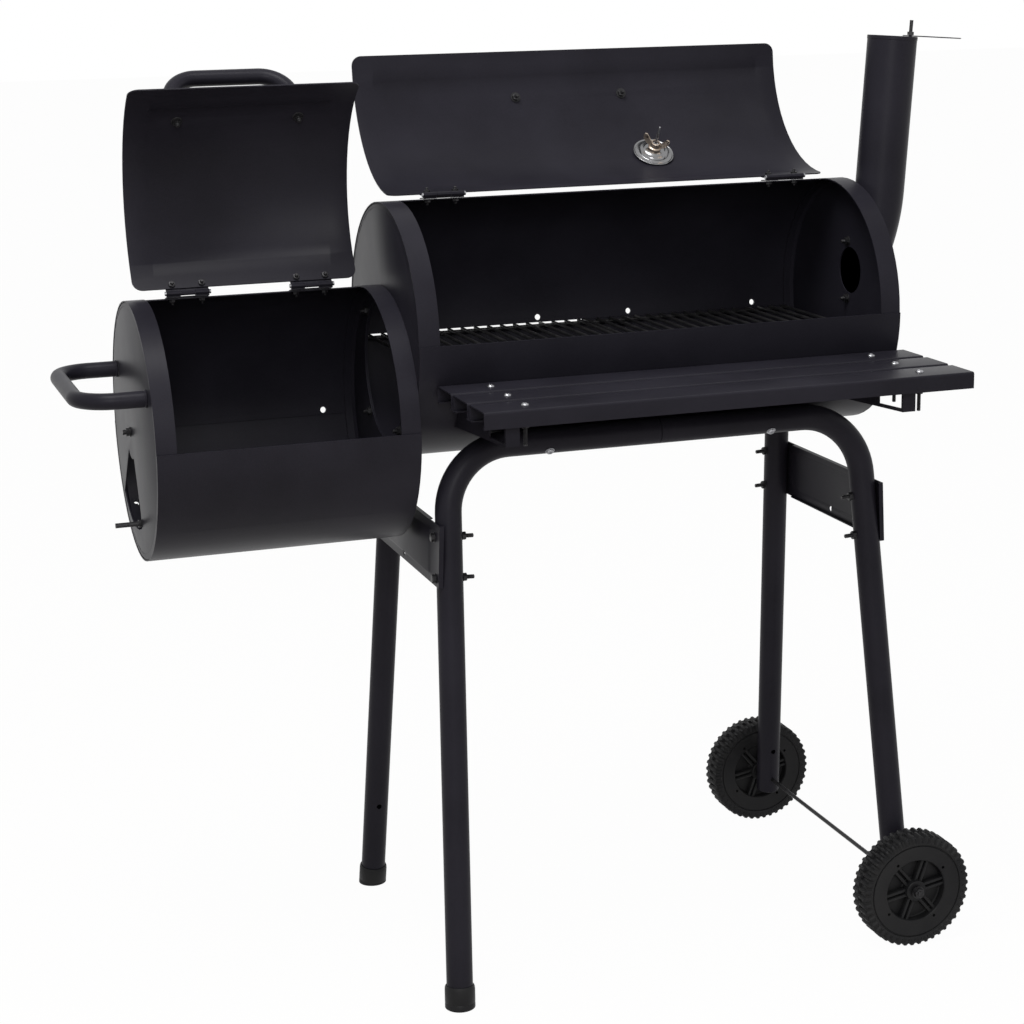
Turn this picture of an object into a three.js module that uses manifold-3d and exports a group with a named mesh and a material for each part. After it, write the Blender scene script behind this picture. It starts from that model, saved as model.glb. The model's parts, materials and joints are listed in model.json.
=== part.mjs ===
// Offset smoker: a barrel cooking chamber with a lower firebox on its left end, a chimney on its
// right end, two hinged lids, a slatted shelf and a tube stand with two wheels.
//
// Millimetres, +Z up. X runs along the barrels towards the chimney and Y runs to the back. Every
// length below is set on its own; places that follow from others are worked out from them.

import * as THREE from 'three';
import { mergeVertices } from 'three/addons/utils/BufferGeometryUtils.js';
import Module from 'manifold-3d';

const wasm = await Module();
wasm.setup();

// ---------------------------------------------------------------- driving dimensions

const touchGap = 0.35;            // kept between faces that rest on each other
const sheet = 1.5;                // thickness of barrel, lid and bracket sheet
const barrelRadius = 150;         // outside of the upper shells
const facetAngle = 6;             // degrees per flat on barrel curves
const lidFacetAngle = 6;

const chamberLength = 605;
const chamberAxisHeight = 785;
const chamberBand = 25;           // sheet left standing at each end of the lid opening
const fireboxLength = 302;
const fireboxAxisDrop = 98;       // firebox axis below the chamber axis
const fireboxBand = 23;

// Section angles run from the back (0) over the top (90) to the front (180).
const openingEdgeStep = 2;        // degrees from the hinge pin back to the edge of an opening
const seamAngle = 180;            // the front seam lies at mid-height
const shellOverlapAngle = 5;      // how far an upper shell reaches inside a lower one
const slitTopAngle = -11.3;       // the draught slit along the back of the chamber
const slitBottomAngle = -12.4;
const slitEnd = 3;                // to the right of it the lower shell laps over the upper one
const fireboxSeamAngle = -6;
const lipHeight = 6;              // folded top edge of each lower shell

const wallHoleRadius = 3.8;
const wallHoleAngle = -8.8;
const wallHolePositions = [-58, 67, 243];
const fireboxWallHolePosition = 109;
const drainRadius = 3.5;
const drainAngle = -47.2;
const drainInset = 12.5;          // from the left end of the firebox

const capCorner = 5;              // rounding between an end cap's face and its skirt
const capSkirt = 14;
const capFacets = 32;
const throatRadius = 85;          // opening between firebox and chamber

const grateDrop = 33;             // cooking grate below the chamber axis
const grateWire = 4;
const gratePitch = 18;
const grateFrameWire = 5;
const grateWeld = 0.8;            // how far a wire sinks into the frame
const grateWallClearance = 3;
const grateEndClearance = 5;
const grateTab = 9;
const coalGrateDrop = 92;         // charcoal grate below the firebox axis
const coalGratePitch = 15;

const lidClearance = 3.5;         // between an upper shell and the inside of its lid
const lidOverlap = 5.5;           // of a lid past each side of its opening
const lidCorner = 12;
const lidEdgeStep = 2.2;          // degrees from the hinge pin to the edge of the lid
const chamberLidFrontAngle = 180.8;
const fireboxLidFrontAngle = 180;
const chamberLidShift = -4.5;     // of a lid's middle from the middle of its opening
const fireboxLidShift = -3.5;
const chamberPanelInset = { side: 24, hinge: 19, front: 29 };   // from the edges of the lid
const fireboxPanelInset = { side: 26, hinge: 31, front: 39 };
const pressSlope = 3;
const pressDepth = 1.6;

const chamberHingeAngle = 88;
const fireboxHingeAngle = 78;
const chamberLidOpen = 180;       // how far each lid is swung open at rest
const fireboxLidOpen = 118;
const hingePinRadius = 1.6;
const hingeKnuckleRadius = 3.1;
const hingePinRise = 5;           // pin above the outside of the shell
const hingeWidth = 50;
const hingeLeafSpan = 6.3;        // degrees from the pin to the end of a leaf
const hingeLeaf = 1.3;
const chamberHingeSpacing = 444;
const fireboxHingeSpacing = 148;

const handleTube = 9.4;           // radius of all handle tubes
const lidHandleBend = 34;
const lidHandleSpan = 142;
const lidHandleReach = 60;
const chamberHandleAngle = 159.5;
const fireboxHandleAngle = 157;
const sideHandleSpan = 210;
const sideHandleReach = 74;
const sideHandleBend = 40;
const sideHandleRise = 56;
const handleFootRadius = 10.2;
const chamberHandlePosition = -8.5;
const fireboxHandlePosition = -5;
const screwRadius = 2.5;

const gaugeAngle = 124.2;
const gaugePosition = 82.6;
const gaugeStemRadius = 4;
const gaugeCaseRadius = 31;
const gaugeCaseDepth = 13;
const gaugeWasherRadius = 28;
const gaugeProbeRadius = 1.5;
const gaugeProbeLength = 32;
const gaugeSides = 16;

const damperPivotY = 28;
const damperPivotDrop = 6.5;
const ventAngle = 278;            // middle of the vent, seen from the pivot
const ventHalfAngle = 33;
const ventInnerRadius = 32;
const ventRimGap = 33;            // between the radii of the cap and of the vent
const damperLap = 3;
const damperBoltRadius = 3;
const damperBoltNut = 4.8;        // over its corners
const damperFingerStep = 6;       // from the finger to the outer edge of the vent
const damperFingerInset = 5.9;    // from the finger to the side of the vent
const damperFingerLength = 30;

const chimneyRadius = 30.5;
const chimneyWall = 1.5;
const chimneyY = -20;
const chimneyRise = 36;           // outlet above the chamber axis
const chimneyBend = 32;
const chimneyLean = 4.2;
const chimneyTop = 1108;
const chimneyFlangeRadius = 42;
const chimneyFlangeSheet = 2;
const chimneyCapRadius = 36;
const chimneyCapPivot = 30;        // from the middle of the cap to its bolt
const chimneyCapSheet = 1.2;
const chimneyBoltRadius = 2.2;
const chimneyBoltRise = 20;
const chimneyNutRadius = 4;
const chimneyEarDrop = 10;

const legTube = 15.8;
const legWall = 1.5;
const tubeSides = 12;
const legBend = 78;
const legFootSpread = 400;        // between front and back legs at the floor
const legFootWidth = 586;         // between left and right legs at the floor
const legTopWidth = 528;          // between the corners of a frame
const frontSeatAngle = 49.5;      // where the frames touch the chamber, below mid-height
const backSeatAngle = 47;
const frameShift = 3;
const spigotLength = 30;          // of the reduced end that joins the two halves of a frame
const spigotSeat = 12;
const spigotWall = 1.4;

const footCapHeight = 26;
const footCapWall = 1.8;
const footCapFloor = 4;
const footCapSides = 16;

const bracketHeight = 74;
const bracketMid = 536;
const bracketLap = 1.2;           // of the web past the side of each leg
const bracketLip = 4;
const bracketPanelStart = 18;     // of the pressed panel, from the middle of a leg
const bracketPanelMargin = 9;     // between the panel and the long edges
const bracketHoleRadius = 3.6;
const bracketHoleRise = 8;

const wheelRadius = 73;
const wheelWidth = 36;
const wheelLugs = 46;
const wheelLugDepth = 3.4;
const wheelGroove = 1.2;
const wheelSpokes = 6;
const wheelLegGap = 2.5;
const wheelBoreClearance = 0.5;
const axleRadius = 2.7;
const axleNut = 6;                // thickness with its washer
const axleNutRadius = 6;
const axleWasherRadius = 8;
const legPastAxle = 18;

const slatCount = 3;
const slatWidth = 53;
const slatPitch = 59.5;
const slatDepth = 19;
const slatLength = 590;
const slatSheet = 1.4;
const slatReturn = 6;
const slatCorner = 3;
const shelfDrop = 46;             // shelf top below the chamber axis
const shelfGap = 1.2;
const shelfShift = 14;
const shelfBracketPositions = [-226, 253];
const shelfBracketSheet = 2;
const shelfBracketFlange = 46;
const shelfBracketWebOffset = 26;
const shelfBracketTab = 16;
const shelfBracketFrontDepth = 24;
const shelfBracketBackDepth = 36;
const shelfBracketWindow = 55;    // opening in the web, behind the front tab
const shelfBracketStrip = 4;      // of web left standing round the opening

// ---------------------------------------------------------------- derived places

const deg = Math.PI / 180;
const chamberHalf = chamberLength / 2;
const fireboxRight = -chamberHalf - touchGap;
const fireboxMid = fireboxRight - fireboxLength / 2;
const fireboxAxisHeight = chamberAxisHeight - fireboxAxisDrop;
const shellInner = barrelRadius - sheet;
const lowerInner = barrelRadius + touchGap;
const lowerOuter = lowerInner + sheet;
const capRadius = shellInner * Math.cos(facetAngle / 2 * deg) - touchGap;
const ventOuterRadius = capRadius - ventRimGap;
const damperFingerRadius = ventOuterRadius - damperFingerStep;
const damperFingerAngle = damperFingerInset / damperFingerRadius / deg;
const lidInner = barrelRadius + lidClearance;
const lidOuter = lidInner + sheet;
const pinRadius = barrelRadius + hingePinRise;

const seatRadius = lowerOuter + legTube + touchGap;
const footCapInner = (legTube + touchGap) / Math.cos(Math.PI / footCapSides);
const footCapOuter = footCapInner + footCapWall;
const legSlopeX = (legFootWidth - legTopWidth) / 2 / frameTop(-1).z;
const axleHeight = wheelRadius;
const axleX = frameShift + legFootWidth / 2 - legSlopeX * axleHeight;
const shelfTop = chamberAxisHeight - shelfDrop;
const shelfBackY = -Math.sqrt(lowerOuter ** 2 - shelfDrop ** 2) - shelfGap;

// Where the top tube of the front (-1) or back (1) frame rests under the chamber.
function frameTop(sideY) {
  const angle = sideY < 0 ? frontSeatAngle : backSeatAngle;
  return {
    y: sideY * seatRadius * Math.cos(angle * deg),
    z: chamberAxisHeight - seatRadius * Math.sin(angle * deg),
  };
}

// How far a leg comes in towards the middle for each millimetre of height.
function legSlopeY(sideY) {
  const top = frameTop(sideY);
  return (legFootSpread / 2 - Math.abs(top.y)) / top.z;
}

// Inner and outer faces of a wheel, from the middle of the axle.
function wheelFaces(sideY) {
  const inner = legFootSpread / 2 - legSlopeY(sideY) * (axleHeight - legPastAxle)
    + legTube + wheelLegGap;
  return { inner, outer: inner + wheelWidth };
}

// ---------------------------------------------------------------- solids

function solid(geometry) {
  const bare = geometry.index ? geometry.toNonIndexed() : geometry.clone();
  bare.deleteAttribute('normal');
  bare.deleteAttribute('uv');
  const merged = mergeVertices(bare, 1e-4);
  return new wasm.Manifold(new wasm.Mesh({
    numProp: 3,
    vertProperties: new Float32Array(merged.attributes.position.array),
    triVerts: new Uint32Array(merged.index.array),
  }));
}

function geometryOf(body) {
  const mesh = body.getMesh();
  const geometry = new THREE.BufferGeometry();
  geometry.setAttribute('position', new THREE.BufferAttribute(mesh.vertProperties, 3));
  geometry.setIndex(new THREE.BufferAttribute(mesh.triVerts, 1));
  return geometry;
}

function joined(...geometries) {
  return geometryOf(geometries.map(solid).reduce((sum, part) => sum.add(part)));
}

function cut(geometry, ...cutters) {
  return geometryOf(cutters.map(solid).reduce((rest, cutter) => rest.subtract(cutter),
    solid(geometry)));
}

// Turns a shape drawn in Y and Z into a prism between two places along X. Each arc of the shape
// gets twice as many flats as there are curve segments.
function alongX(shape, start, end, curveSegments = 3) {
  const geometry = new THREE.ExtrudeGeometry(shape, {
    depth: end - start, bevelEnabled: false, curveSegments,
  });
  geometry.applyMatrix4(new THREE.Matrix4().makeBasis(
    new THREE.Vector3(0, 1, 0), new THREE.Vector3(0, 0, 1), new THREE.Vector3(1, 0, 0)));
  return geometry.translate(start, 0, 0);
}

// A sector of a flat ring, such as the section of a barrel wall.
function ringShape(inner, outer, startAngle, endAngle) {
  const shape = new THREE.Shape();
  shape.absarc(0, 0, outer, startAngle * deg, endAngle * deg, false);
  shape.absarc(0, 0, inner, endAngle * deg, startAngle * deg, true);
  shape.closePath();
  return shape;
}

function arcWall(inner, outer, startAngle, endAngle, start, end) {
  const flats = Math.ceil(Math.abs(endAngle - startAngle) / facetAngle / 2);
  return alongX(ringShape(inner, outer, startAngle, endAngle), start, end, flats);
}

// A round bar that stands out from a barrel axis at a section angle.
function radialBar(radius, inner, outer, angle, x, sides = 12) {
  const bar = new THREE.CylinderGeometry(radius, radius, outer - inner, sides);
  bar.translate(0, (inner + outer) / 2, 0);
  return atSection(bar, angle, x);
}

// Stands a piece made along +Y out from a barrel axis at a section angle.
function atSection(geometry, angle, x) {
  return geometry.rotateX(angle * deg).translate(x, 0, 0);
}

function barAlongX(radius, start, end, sides = 12) {
  const bar = new THREE.CylinderGeometry(radius, radius, end - start, sides);
  return bar.rotateZ(-Math.PI / 2).translate((start + end) / 2, 0, 0);
}

function barAlongY(radius, start, end, sides = 12) {
  const bar = new THREE.CylinderGeometry(radius, radius, end - start, sides);
  return bar.translate(0, (start + end) / 2, 0);
}

function barAlongZ(radius, start, end, sides = 12) {
  const bar = new THREE.CylinderGeometry(radius, radius, end - start, sides);
  return bar.rotateX(Math.PI / 2).translate(0, 0, (start + end) / 2);
}

function block(x0, x1, y0, y1, z0, z1) {
  const box = new THREE.BoxGeometry(x1 - x0, y1 - y0, z1 - z0);
  return box.translate((x0 + x1) / 2, (y0 + y1) / 2, (z0 + z1) / 2);
}

// A centreline of straight runs joined by round bends. Its stations lie only where the line
// starts, ends or curves, so that a straight run costs no extra facets.
class BentLine extends THREE.Curve {
  constructor(corners, bend, bendSteps) {
    super();
    this.stations = [{ point: corners[0], tangent: direction(corners[0], corners[1]) }];
    for (let i = 1; i < corners.length - 1; i += 1) {
      this.addBend(corners[i - 1], corners[i], corners[i + 1], bend, bendSteps);
    }
    const last = corners.length - 1;
    this.stations.push({
      point: corners[last], tangent: direction(corners[last - 1], corners[last]),
    });
  }

  addBend(before, corner, after, bend, bendSteps) {
    const incoming = direction(before, corner);
    const outgoing = direction(corner, after);
    const turn = incoming.angleTo(outgoing);
    const start = corner.clone().addScaledVector(incoming, -bend * Math.tan(turn / 2));
    const inward = outgoing.clone().addScaledVector(incoming, -Math.cos(turn)).normalize();
    for (let i = 0; i <= bendSteps; i += 1) {
      const angle = turn * i / bendSteps;
      const point = start.clone()
        .addScaledVector(incoming, bend * Math.sin(angle))
        .addScaledVector(inward, bend * (1 - Math.cos(angle)));
      const tangent = incoming.clone().multiplyScalar(Math.cos(angle))
        .addScaledVector(inward, Math.sin(angle));
      this.stations.push({ point, tangent });
    }
  }

  get steps() {
    return this.stations.length - 1;
  }

  at(share) {
    return this.stations[Math.round(share * this.steps)];
  }

  getPointAt(share, target = new THREE.Vector3()) {
    return target.copy(this.at(share).point);
  }

  getPoint(share, target) {
    return this.getPointAt(share, target);
  }

  getTangentAt(share, target = new THREE.Vector3()) {
    return target.copy(this.at(share).tangent);
  }
}

function direction(from, to) {
  return to.clone().sub(from).normalize();
}

function vector(x, y, z) {
  return new THREE.Vector3(x, y, z);
}

function rod(line, radius, sides) {
  const shape = new THREE.Shape().absarc(0, 0, radius, 0, 2 * Math.PI, false);
  return swept(shape, line, sides);
}

function tube(line, radius, wall, sides) {
  const shape = new THREE.Shape().absarc(0, 0, radius, 0, 2 * Math.PI, false);
  shape.holes.push(new THREE.Path().absarc(0, 0, radius - wall, 0, 2 * Math.PI, true));
  return swept(shape, line, sides);
}

function swept(shape, line, sides) {
  return new THREE.ExtrudeGeometry(shape, {
    extrudePath: line, steps: line.steps, curveSegments: sides / 2, bevelEnabled: false,
  });
}

// A sheet with a pressed panel, made as a flat grid whose lines along u and v are listed. put()
// says where a point (u, v, height) of it goes.
function pressedSheet(uLines, vLines, thickness, press, put) {
  const box = new THREE.BoxGeometry(1, 1, 1, uLines.length - 1, vLines.length - 1, 1);
  const place = box.attributes.position;
  for (let i = 0; i < place.count; i += 1) {
    const u = uLines[Math.round((place.getX(i) + 0.5) * (uLines.length - 1))];
    const v = vLines[Math.round((place.getY(i) + 0.5) * (vLines.length - 1))];
    const height = (place.getZ(i) + 0.5) * thickness + press(u, v);
    const { x, y, z } = put(u, v, height);
    place.setXYZ(i, x, y, z);
  }
  return box;
}

// How far a point is pressed out, on a panel between the given limits with sloping sides.
function panelPress(uMin, uMax, vMin, vMax, slope, depth) {
  return (u, v) => {
    const inside = Math.min(u - uMin, uMax - u, v - vMin, vMax - v);
    return depth * Math.min(1, Math.max(0, inside / slope));
  };
}

function evenLines(start, end, longest) {
  const count = Math.ceil((end - start) / longest);
  return Array.from({ length: count + 1 }, (_, i) => start + (end - start) * i / count);
}

// ---------------------------------------------------------------- materials and nodes

const blackSteel = { color: 0x1d1d20, roughness: 0.55, metalness: 0.35 };
const brightSteel = { color: 0xb9bbbd, roughness: 0.32, metalness: 1 };
const chrome = { color: 0xd8dadc, roughness: 0.12, metalness: 1 };
const wireSteel = { color: 0x2a2a2c, roughness: 0.45, metalness: 0.6 };
const blackPlastic = { color: 0x202124, roughness: 0.7, metalness: 0 };
const brass = { color: 0xa88f6a, roughness: 0.35, metalness: 1 };
const dialWhite = { color: 0xe9e9e6, roughness: 0.5, metalness: 0 };

function node(name, geometry, finish, place) {
  const mesh = new THREE.Mesh(geometry, new THREE.MeshStandardMaterial(finish));
  mesh.name = name;
  if (place) {
    mesh.position.copy(place);
  }
  return mesh;
}

// ---------------------------------------------------------------- cooking chamber

function upperShell(half, band, backAngle, hingeAngle, holes) {
  const wall = arcWall(shellInner, barrelRadius, backAngle, seamAngle + shellOverlapAngle,
    -half, half);
  const opening = arcWall(shellInner - 5, barrelRadius + 5, hingeAngle - openingEdgeStep,
    seamAngle + shellOverlapAngle + 2, -half + band, half - band);
  return cut(wall, opening, ...holes);
}

function lowerShell(half, band, backAngle, extras) {
  const wall = arcWall(lowerInner, lowerOuter, seamAngle, 360 + backAngle, -half, half);
  const lipAngle = lipHeight / lowerInner / deg;
  const lip = arcWall(lowerInner - sheet, lowerInner + 0.2, seamAngle, seamAngle + lipAngle,
    -half + band + touchGap, half - band - touchGap);
  return joined(wall, lip, ...extras);
}

// Small ledges folded in from a lower shell, on which a grate lies.
function grateTabs(drop, positions, halfDepth, width) {
  const top = -drop - grateFrameWire / 2 - touchGap;
  const tabs = [];
  for (const x of positions) {
    for (const side of [-1, 1]) {
      const wallY = Math.sqrt(lowerInner ** 2 - (drop + 3) ** 2) + 0.8;
      const inner = Math.min(halfDepth, wallY) - grateTab;
      const y0 = side < 0 ? -wallY : inner;
      const y1 = side < 0 ? -inner : wallY;
      tabs.push(block(x - width / 2, x + width / 2, y0, y1, top - sheet, top));
    }
  }
  return tabs;
}

function endCap(facing) {
  const points = [new THREE.Vector2(0, 0)];
  const cornerSteps = 2;
  for (let i = 0; i <= cornerSteps; i += 1) {
    const angle = Math.PI / 2 * i / cornerSteps;
    points.push(new THREE.Vector2(capRadius - capCorner + capCorner * Math.sin(angle),
      capCorner - capCorner * Math.cos(angle)));
  }
  points.push(new THREE.Vector2(capRadius, capSkirt));
  points.push(new THREE.Vector2(capRadius - sheet, capSkirt));
  points.push(new THREE.Vector2(capRadius - sheet, capCorner));
  points.push(new THREE.Vector2(capRadius - capCorner, sheet));
  points.push(new THREE.Vector2(0, sheet));
  const cap = new THREE.LatheGeometry(points, capFacets);
  return cap.rotateZ(facing < 0 ? -Math.PI / 2 : Math.PI / 2);
}

function throatCutter(x, rise) {
  return barAlongX(throatRadius, x - 20, x + 20, 32).translate(0, 0, rise);
}

// A grate of parallel wires on a frame of four bars, about the barrel axis.
function grate(length, halfDepth, drop, pitch) {
  const half = length / 2;
  const frameHalf = grateFrameWire / 2;
  const pieces = [-1, 0, 1].map((share) => block(-half, half, -frameHalf, frameHalf, -frameHalf,
    frameHalf).translate(0, share * halfDepth, -drop));
  const wireHeight = (grateFrameWire + grateWire) / 2 - grateWeld - drop;
  const count = Math.round((length - grateWire) / pitch);
  for (let i = 0; i <= count; i += 1) {
    const x = (i / count - 0.5) * (length - grateWire);
    pieces.push(barAlongY(grateWire / 2, -halfDepth - 1, halfDepth + 1, 5)
      .translate(x, 0, wireHeight));
  }
  return joined(...pieces);
}

function grateHalfDepth(drop) {
  return Math.sqrt(shellInner ** 2 - (drop + grateFrameWire) ** 2) - grateWallClearance;
}

function cookingChamber() {
  const chamber = new THREE.Group();
  chamber.position.z = chamberAxisHeight;

  const holes = wallHolePositions.map((x) => radialBar(wallHoleRadius, shellInner - 10,
    barrelRadius + 10, wallHoleAngle, x));
  chamber.add(node('main_upper_shell',
    upperShell(chamberHalf, chamberBand, slitTopAngle, chamberHingeAngle, holes), blackSteel));

  const grateLength = chamberHalf - capSkirt - grateEndClearance;
  const halfDepth = grateHalfDepth(grateDrop);
  const grateMiddle = grateLength / 2 + grateEndClearance / 2;
  const tabPlaces = [-1, 1].flatMap((side) => [0.3, -0.3]
    .map((share) => side * grateMiddle + share * grateLength));
  const tabs = grateTabs(grateDrop, tabPlaces, halfDepth, 16);
  const lap = arcWall(lowerInner, lowerOuter, 360 + slitBottomAngle - 1,
    360 + slitTopAngle + shellOverlapAngle, slitEnd, chamberHalf);
  const lower = lowerShell(chamberHalf, chamberBand, slitBottomAngle, [...tabs, lap]);
  chamber.add(node('main_lower_shell', cut(lower, ...holes), blackSteel));

  const leftCap = cut(endCap(-1).translate(-chamberHalf, 0, 0),
    throatCutter(-chamberHalf, -fireboxAxisDrop / 2));
  chamber.add(node('main_left_end_cap', leftCap, blackSteel));

  const outlet = barAlongX(chimneyRadius - chimneyWall, chamberHalf - 20, chamberHalf + 20, 24)
    .translate(0, chimneyY, chimneyRise);
  const rightCap = cut(endCap(1).translate(chamberHalf, 0, 0), outlet);
  chamber.add(node('main_right_end_cap', rightCap, blackSteel));

  for (const [name, side] of [['cooking_grate_left', -1], ['cooking_grate_right', 1]]) {
    chamber.add(node(name, grate(grateLength, halfDepth, grateDrop, gratePitch), wireSteel,
      vector(side * grateMiddle, 0, 0)));
  }
  return chamber;
}

// ---------------------------------------------------------------- firebox

function firebox() {
  const box = new THREE.Group();
  box.position.set(fireboxMid, 0, fireboxAxisHeight);
  const half = fireboxLength / 2;
  const hole = radialBar(wallHoleRadius, shellInner - 10, lowerOuter + 10, wallHoleAngle,
    fireboxWallHolePosition);

  box.add(node('firebox_upper_shell',
    upperShell(half, fireboxBand, fireboxSeamAngle - shellOverlapAngle, fireboxHingeAngle,
      [hole]), blackSteel));

  const coalLength = fireboxLength - 2 * (capSkirt + grateEndClearance);
  const coalDepth = grateHalfDepth(coalGrateDrop);
  const tabs = grateTabs(coalGrateDrop, [-coalLength * 0.35, coalLength * 0.35], coalDepth, 16);
  const lower = lowerShell(half, fireboxBand, fireboxSeamAngle, tabs);
  const drain = radialBar(drainRadius, shellInner - 10, lowerOuter + 10, drainAngle,
    drainInset - half);
  box.add(node('firebox_lower_shell', cut(lower, hole, drain), blackSteel));

  const pivot = vector(-half, damperPivotY, -damperPivotDrop);
  const vent = alongX(ringShape(ventInnerRadius, ventOuterRadius, ventAngle - ventHalfAngle,
    ventAngle + ventHalfAngle), -20, 20, 10).translate(pivot.x, pivot.y, pivot.z);
  const pivotHole = barAlongX(damperBoltRadius + touchGap, pivot.x - 5, pivot.x + 5, 8)
    .translate(0, pivot.y, pivot.z);
  const leftCap = cut(endCap(-1).translate(-half, 0, 0), vent, pivotHole, drain);
  box.add(node('firebox_left_end_cap', leftCap, blackSteel));

  const rightCap = cut(endCap(1).translate(half, 0, 0),
    throatCutter(half, fireboxAxisDrop / 2));
  box.add(node('firebox_right_end_cap', rightCap, blackSteel));

  box.add(node('charcoal_grate', grate(coalLength, coalDepth, coalGrateDrop, coalGratePitch),
    wireSteel));
  box.add(...airDamper(pivot));
  box.add(sideHandle(-half));
  return box;
}

// The damper is a wedge of sheet behind the vent. It turns on the pivot bolt, and its finger bolt
// stands out through the vent, at whose front side it lies while the vent is open.
function airDamper(pivot) {
  const plateX = sheet + touchGap;
  const plateBack = plateX + sheet;
  const lapAngle = damperLap / ventOuterRadius / deg;
  const fingerAngle = ventAngle - ventHalfAngle + damperFingerAngle;
  const finger = vector(0, damperFingerRadius * Math.cos(fingerAngle * deg),
    damperFingerRadius * Math.sin(fingerAngle * deg));
  const wedge = ringShape(4, ventOuterRadius + damperLap,
    fingerAngle - 2 * ventHalfAngle + damperFingerAngle - lapAngle,
    fingerAngle + damperFingerAngle + lapAngle);
  const boltHole = barAlongX(damperBoltRadius + touchGap, 0, 10, 8);
  const plate = cut(
    joined(alongX(wedge, plateX, plateBack, 10), barAlongX(11, plateX, plateBack, 20)),
    boltHole, boltHole.clone().translate(0, finger.y, finger.z));

  const nut = (start, end) => barAlongX(damperBoltNut, start, end, 6);
  const pivotBolt = joined(
    barAlongX(damperBoltRadius, -touchGap - 9, plateBack + 8, 8),
    barAlongX(damperBoltNut + 1, -touchGap - 1.3, -touchGap),
    nut(-touchGap - 5, -touchGap - 1),
    nut(plateBack + touchGap, plateBack + touchGap + 4));
  const fingerBolt = joined(
    barAlongX(damperBoltRadius, -damperFingerLength, plateBack + 7, 8),
    nut(-touchGap - 3, plateX - touchGap),
    nut(plateBack + touchGap, plateBack + touchGap + 4));
  return [
    node('air_damper_plate', plate, blackSteel, pivot),
    node('air_damper_pivot_bolt', pivotBolt, blackSteel, pivot),
    node('air_damper_finger_bolt', fingerBolt, blackSteel, pivot.clone().add(finger)),
  ];
}

// ---------------------------------------------------------------- handles

// A U of closed tube on two round feet. The feet stand on the plane X = 0, the grip runs along Y
// and reaches towards -X.
function handle(span, reach, bend) {
  const half = span / 2;
  const line = new BentLine([
    vector(-sheet, -half, 0), vector(-reach, -half, 0),
    vector(-reach, half, 0), vector(-sheet, half, 0),
  ], bend, 4);
  const feet = [-half, half].map((y) => barAlongX(handleFootRadius, -sheet - 1, -touchGap)
    .translate(0, y, 0));
  return joined(rod(line, handleTube, 10), ...feet);
}

function sideHandle(x) {
  return node('firebox_side_handle', handle(sideHandleSpan, sideHandleReach, sideHandleBend),
    blackSteel, vector(x, 0, sideHandleRise));
}

// ---------------------------------------------------------------- lids and hinges

// A lid, drawn closed about its barrel axis: a curved sheet with rounded corners and a pressed
// panel.
function lidShell(half, middleX, hingeAngle, frontAngle, panelInset, cutters) {
  const startAngle = hingeAngle + lidEdgeStep;
  const slope = pressSlope / lidInner / deg;
  const panelStart = startAngle + panelInset.hinge / lidInner / deg;
  const panelEnd = frontAngle - panelInset.front / lidInner / deg;
  const panelHalf = half - panelInset.side;
  const uLines = [-half, -panelHalf, -panelHalf + pressSlope, panelHalf - pressSlope, panelHalf,
    half];
  const vLines = [
    ...evenLines(startAngle, panelStart, lidFacetAngle),
    ...evenLines(panelStart + slope, panelEnd - slope, lidFacetAngle),
    ...evenLines(panelEnd, frontAngle, lidFacetAngle),
  ];
  const pressAcross = panelPress(-panelHalf, panelHalf, -Infinity, Infinity, pressSlope, 1);
  const pressRound = panelPress(-Infinity, Infinity, panelStart, panelEnd, slope, 1);
  const press = (u, v) => pressDepth * Math.min(pressAcross(u, v), pressRound(u, v));
  const sheetBody = pressedSheet(uLines, vLines, sheet, press, (u, v, height) => ({
    x: middleX - u,
    y: (lidInner + height) * Math.cos(v * deg),
    z: (lidInner + height) * Math.sin(v * deg),
  }));
  const corners = [-1, 1].flatMap((side) => [
    lidCornerCutter(side, 1, middleX + side * half, frontAngle),
    lidCornerCutter(side, -1, middleX + side * half, startAngle),
  ]);
  return cut(sheetBody, ...corners, ...cutters);
}

// What a square corner loses to its rounding: the square less a quarter disc, run through the
// sheet at the corner's own section angle.
function lidCornerCutter(sideX, sideV, x, angle) {
  const shape = new THREE.Shape();
  const over = 2;
  shape.moveTo(over, over);
  shape.lineTo(-lidCorner, over);
  shape.lineTo(-lidCorner, 0);
  shape.absarc(-lidCorner, -lidCorner, lidCorner, Math.PI / 2, 0, true);
  shape.lineTo(over, -lidCorner);
  shape.closePath();
  const prism = new THREE.ExtrudeGeometry(shape, {
    depth: 16, bevelEnabled: false, curveSegments: 5,
  });
  prism.translate(0, 0, -8);
  // Shape x runs along X, shape y runs round the barrel, and the depth runs outwards.
  const along = vector(sideX, 0, 0);
  const round = vector(0, -Math.sin(angle * deg), Math.cos(angle * deg))
    .multiplyScalar(sideV);
  const out = vector(0, Math.cos(angle * deg), Math.sin(angle * deg));
  const flip = along.clone().cross(round).dot(out) < 0;
  prism.applyMatrix4(new THREE.Matrix4().makeBasis(along, round, out));
  if (flip) {
    reverseFaces(prism);
  }
  return prism.translate(x, (lidInner + sheet / 2) * out.y, (lidInner + sheet / 2) * out.z);
}

function reverseFaces(geometry) {
  const place = geometry.attributes.position;
  for (let i = 0; i < place.count; i += 3) {
    const [x, y, z] = [place.getX(i), place.getY(i), place.getZ(i)];
    place.setXYZ(i, place.getX(i + 1), place.getY(i + 1), place.getZ(i + 1));
    place.setXYZ(i + 1, x, y, z);
  }
}

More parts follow.
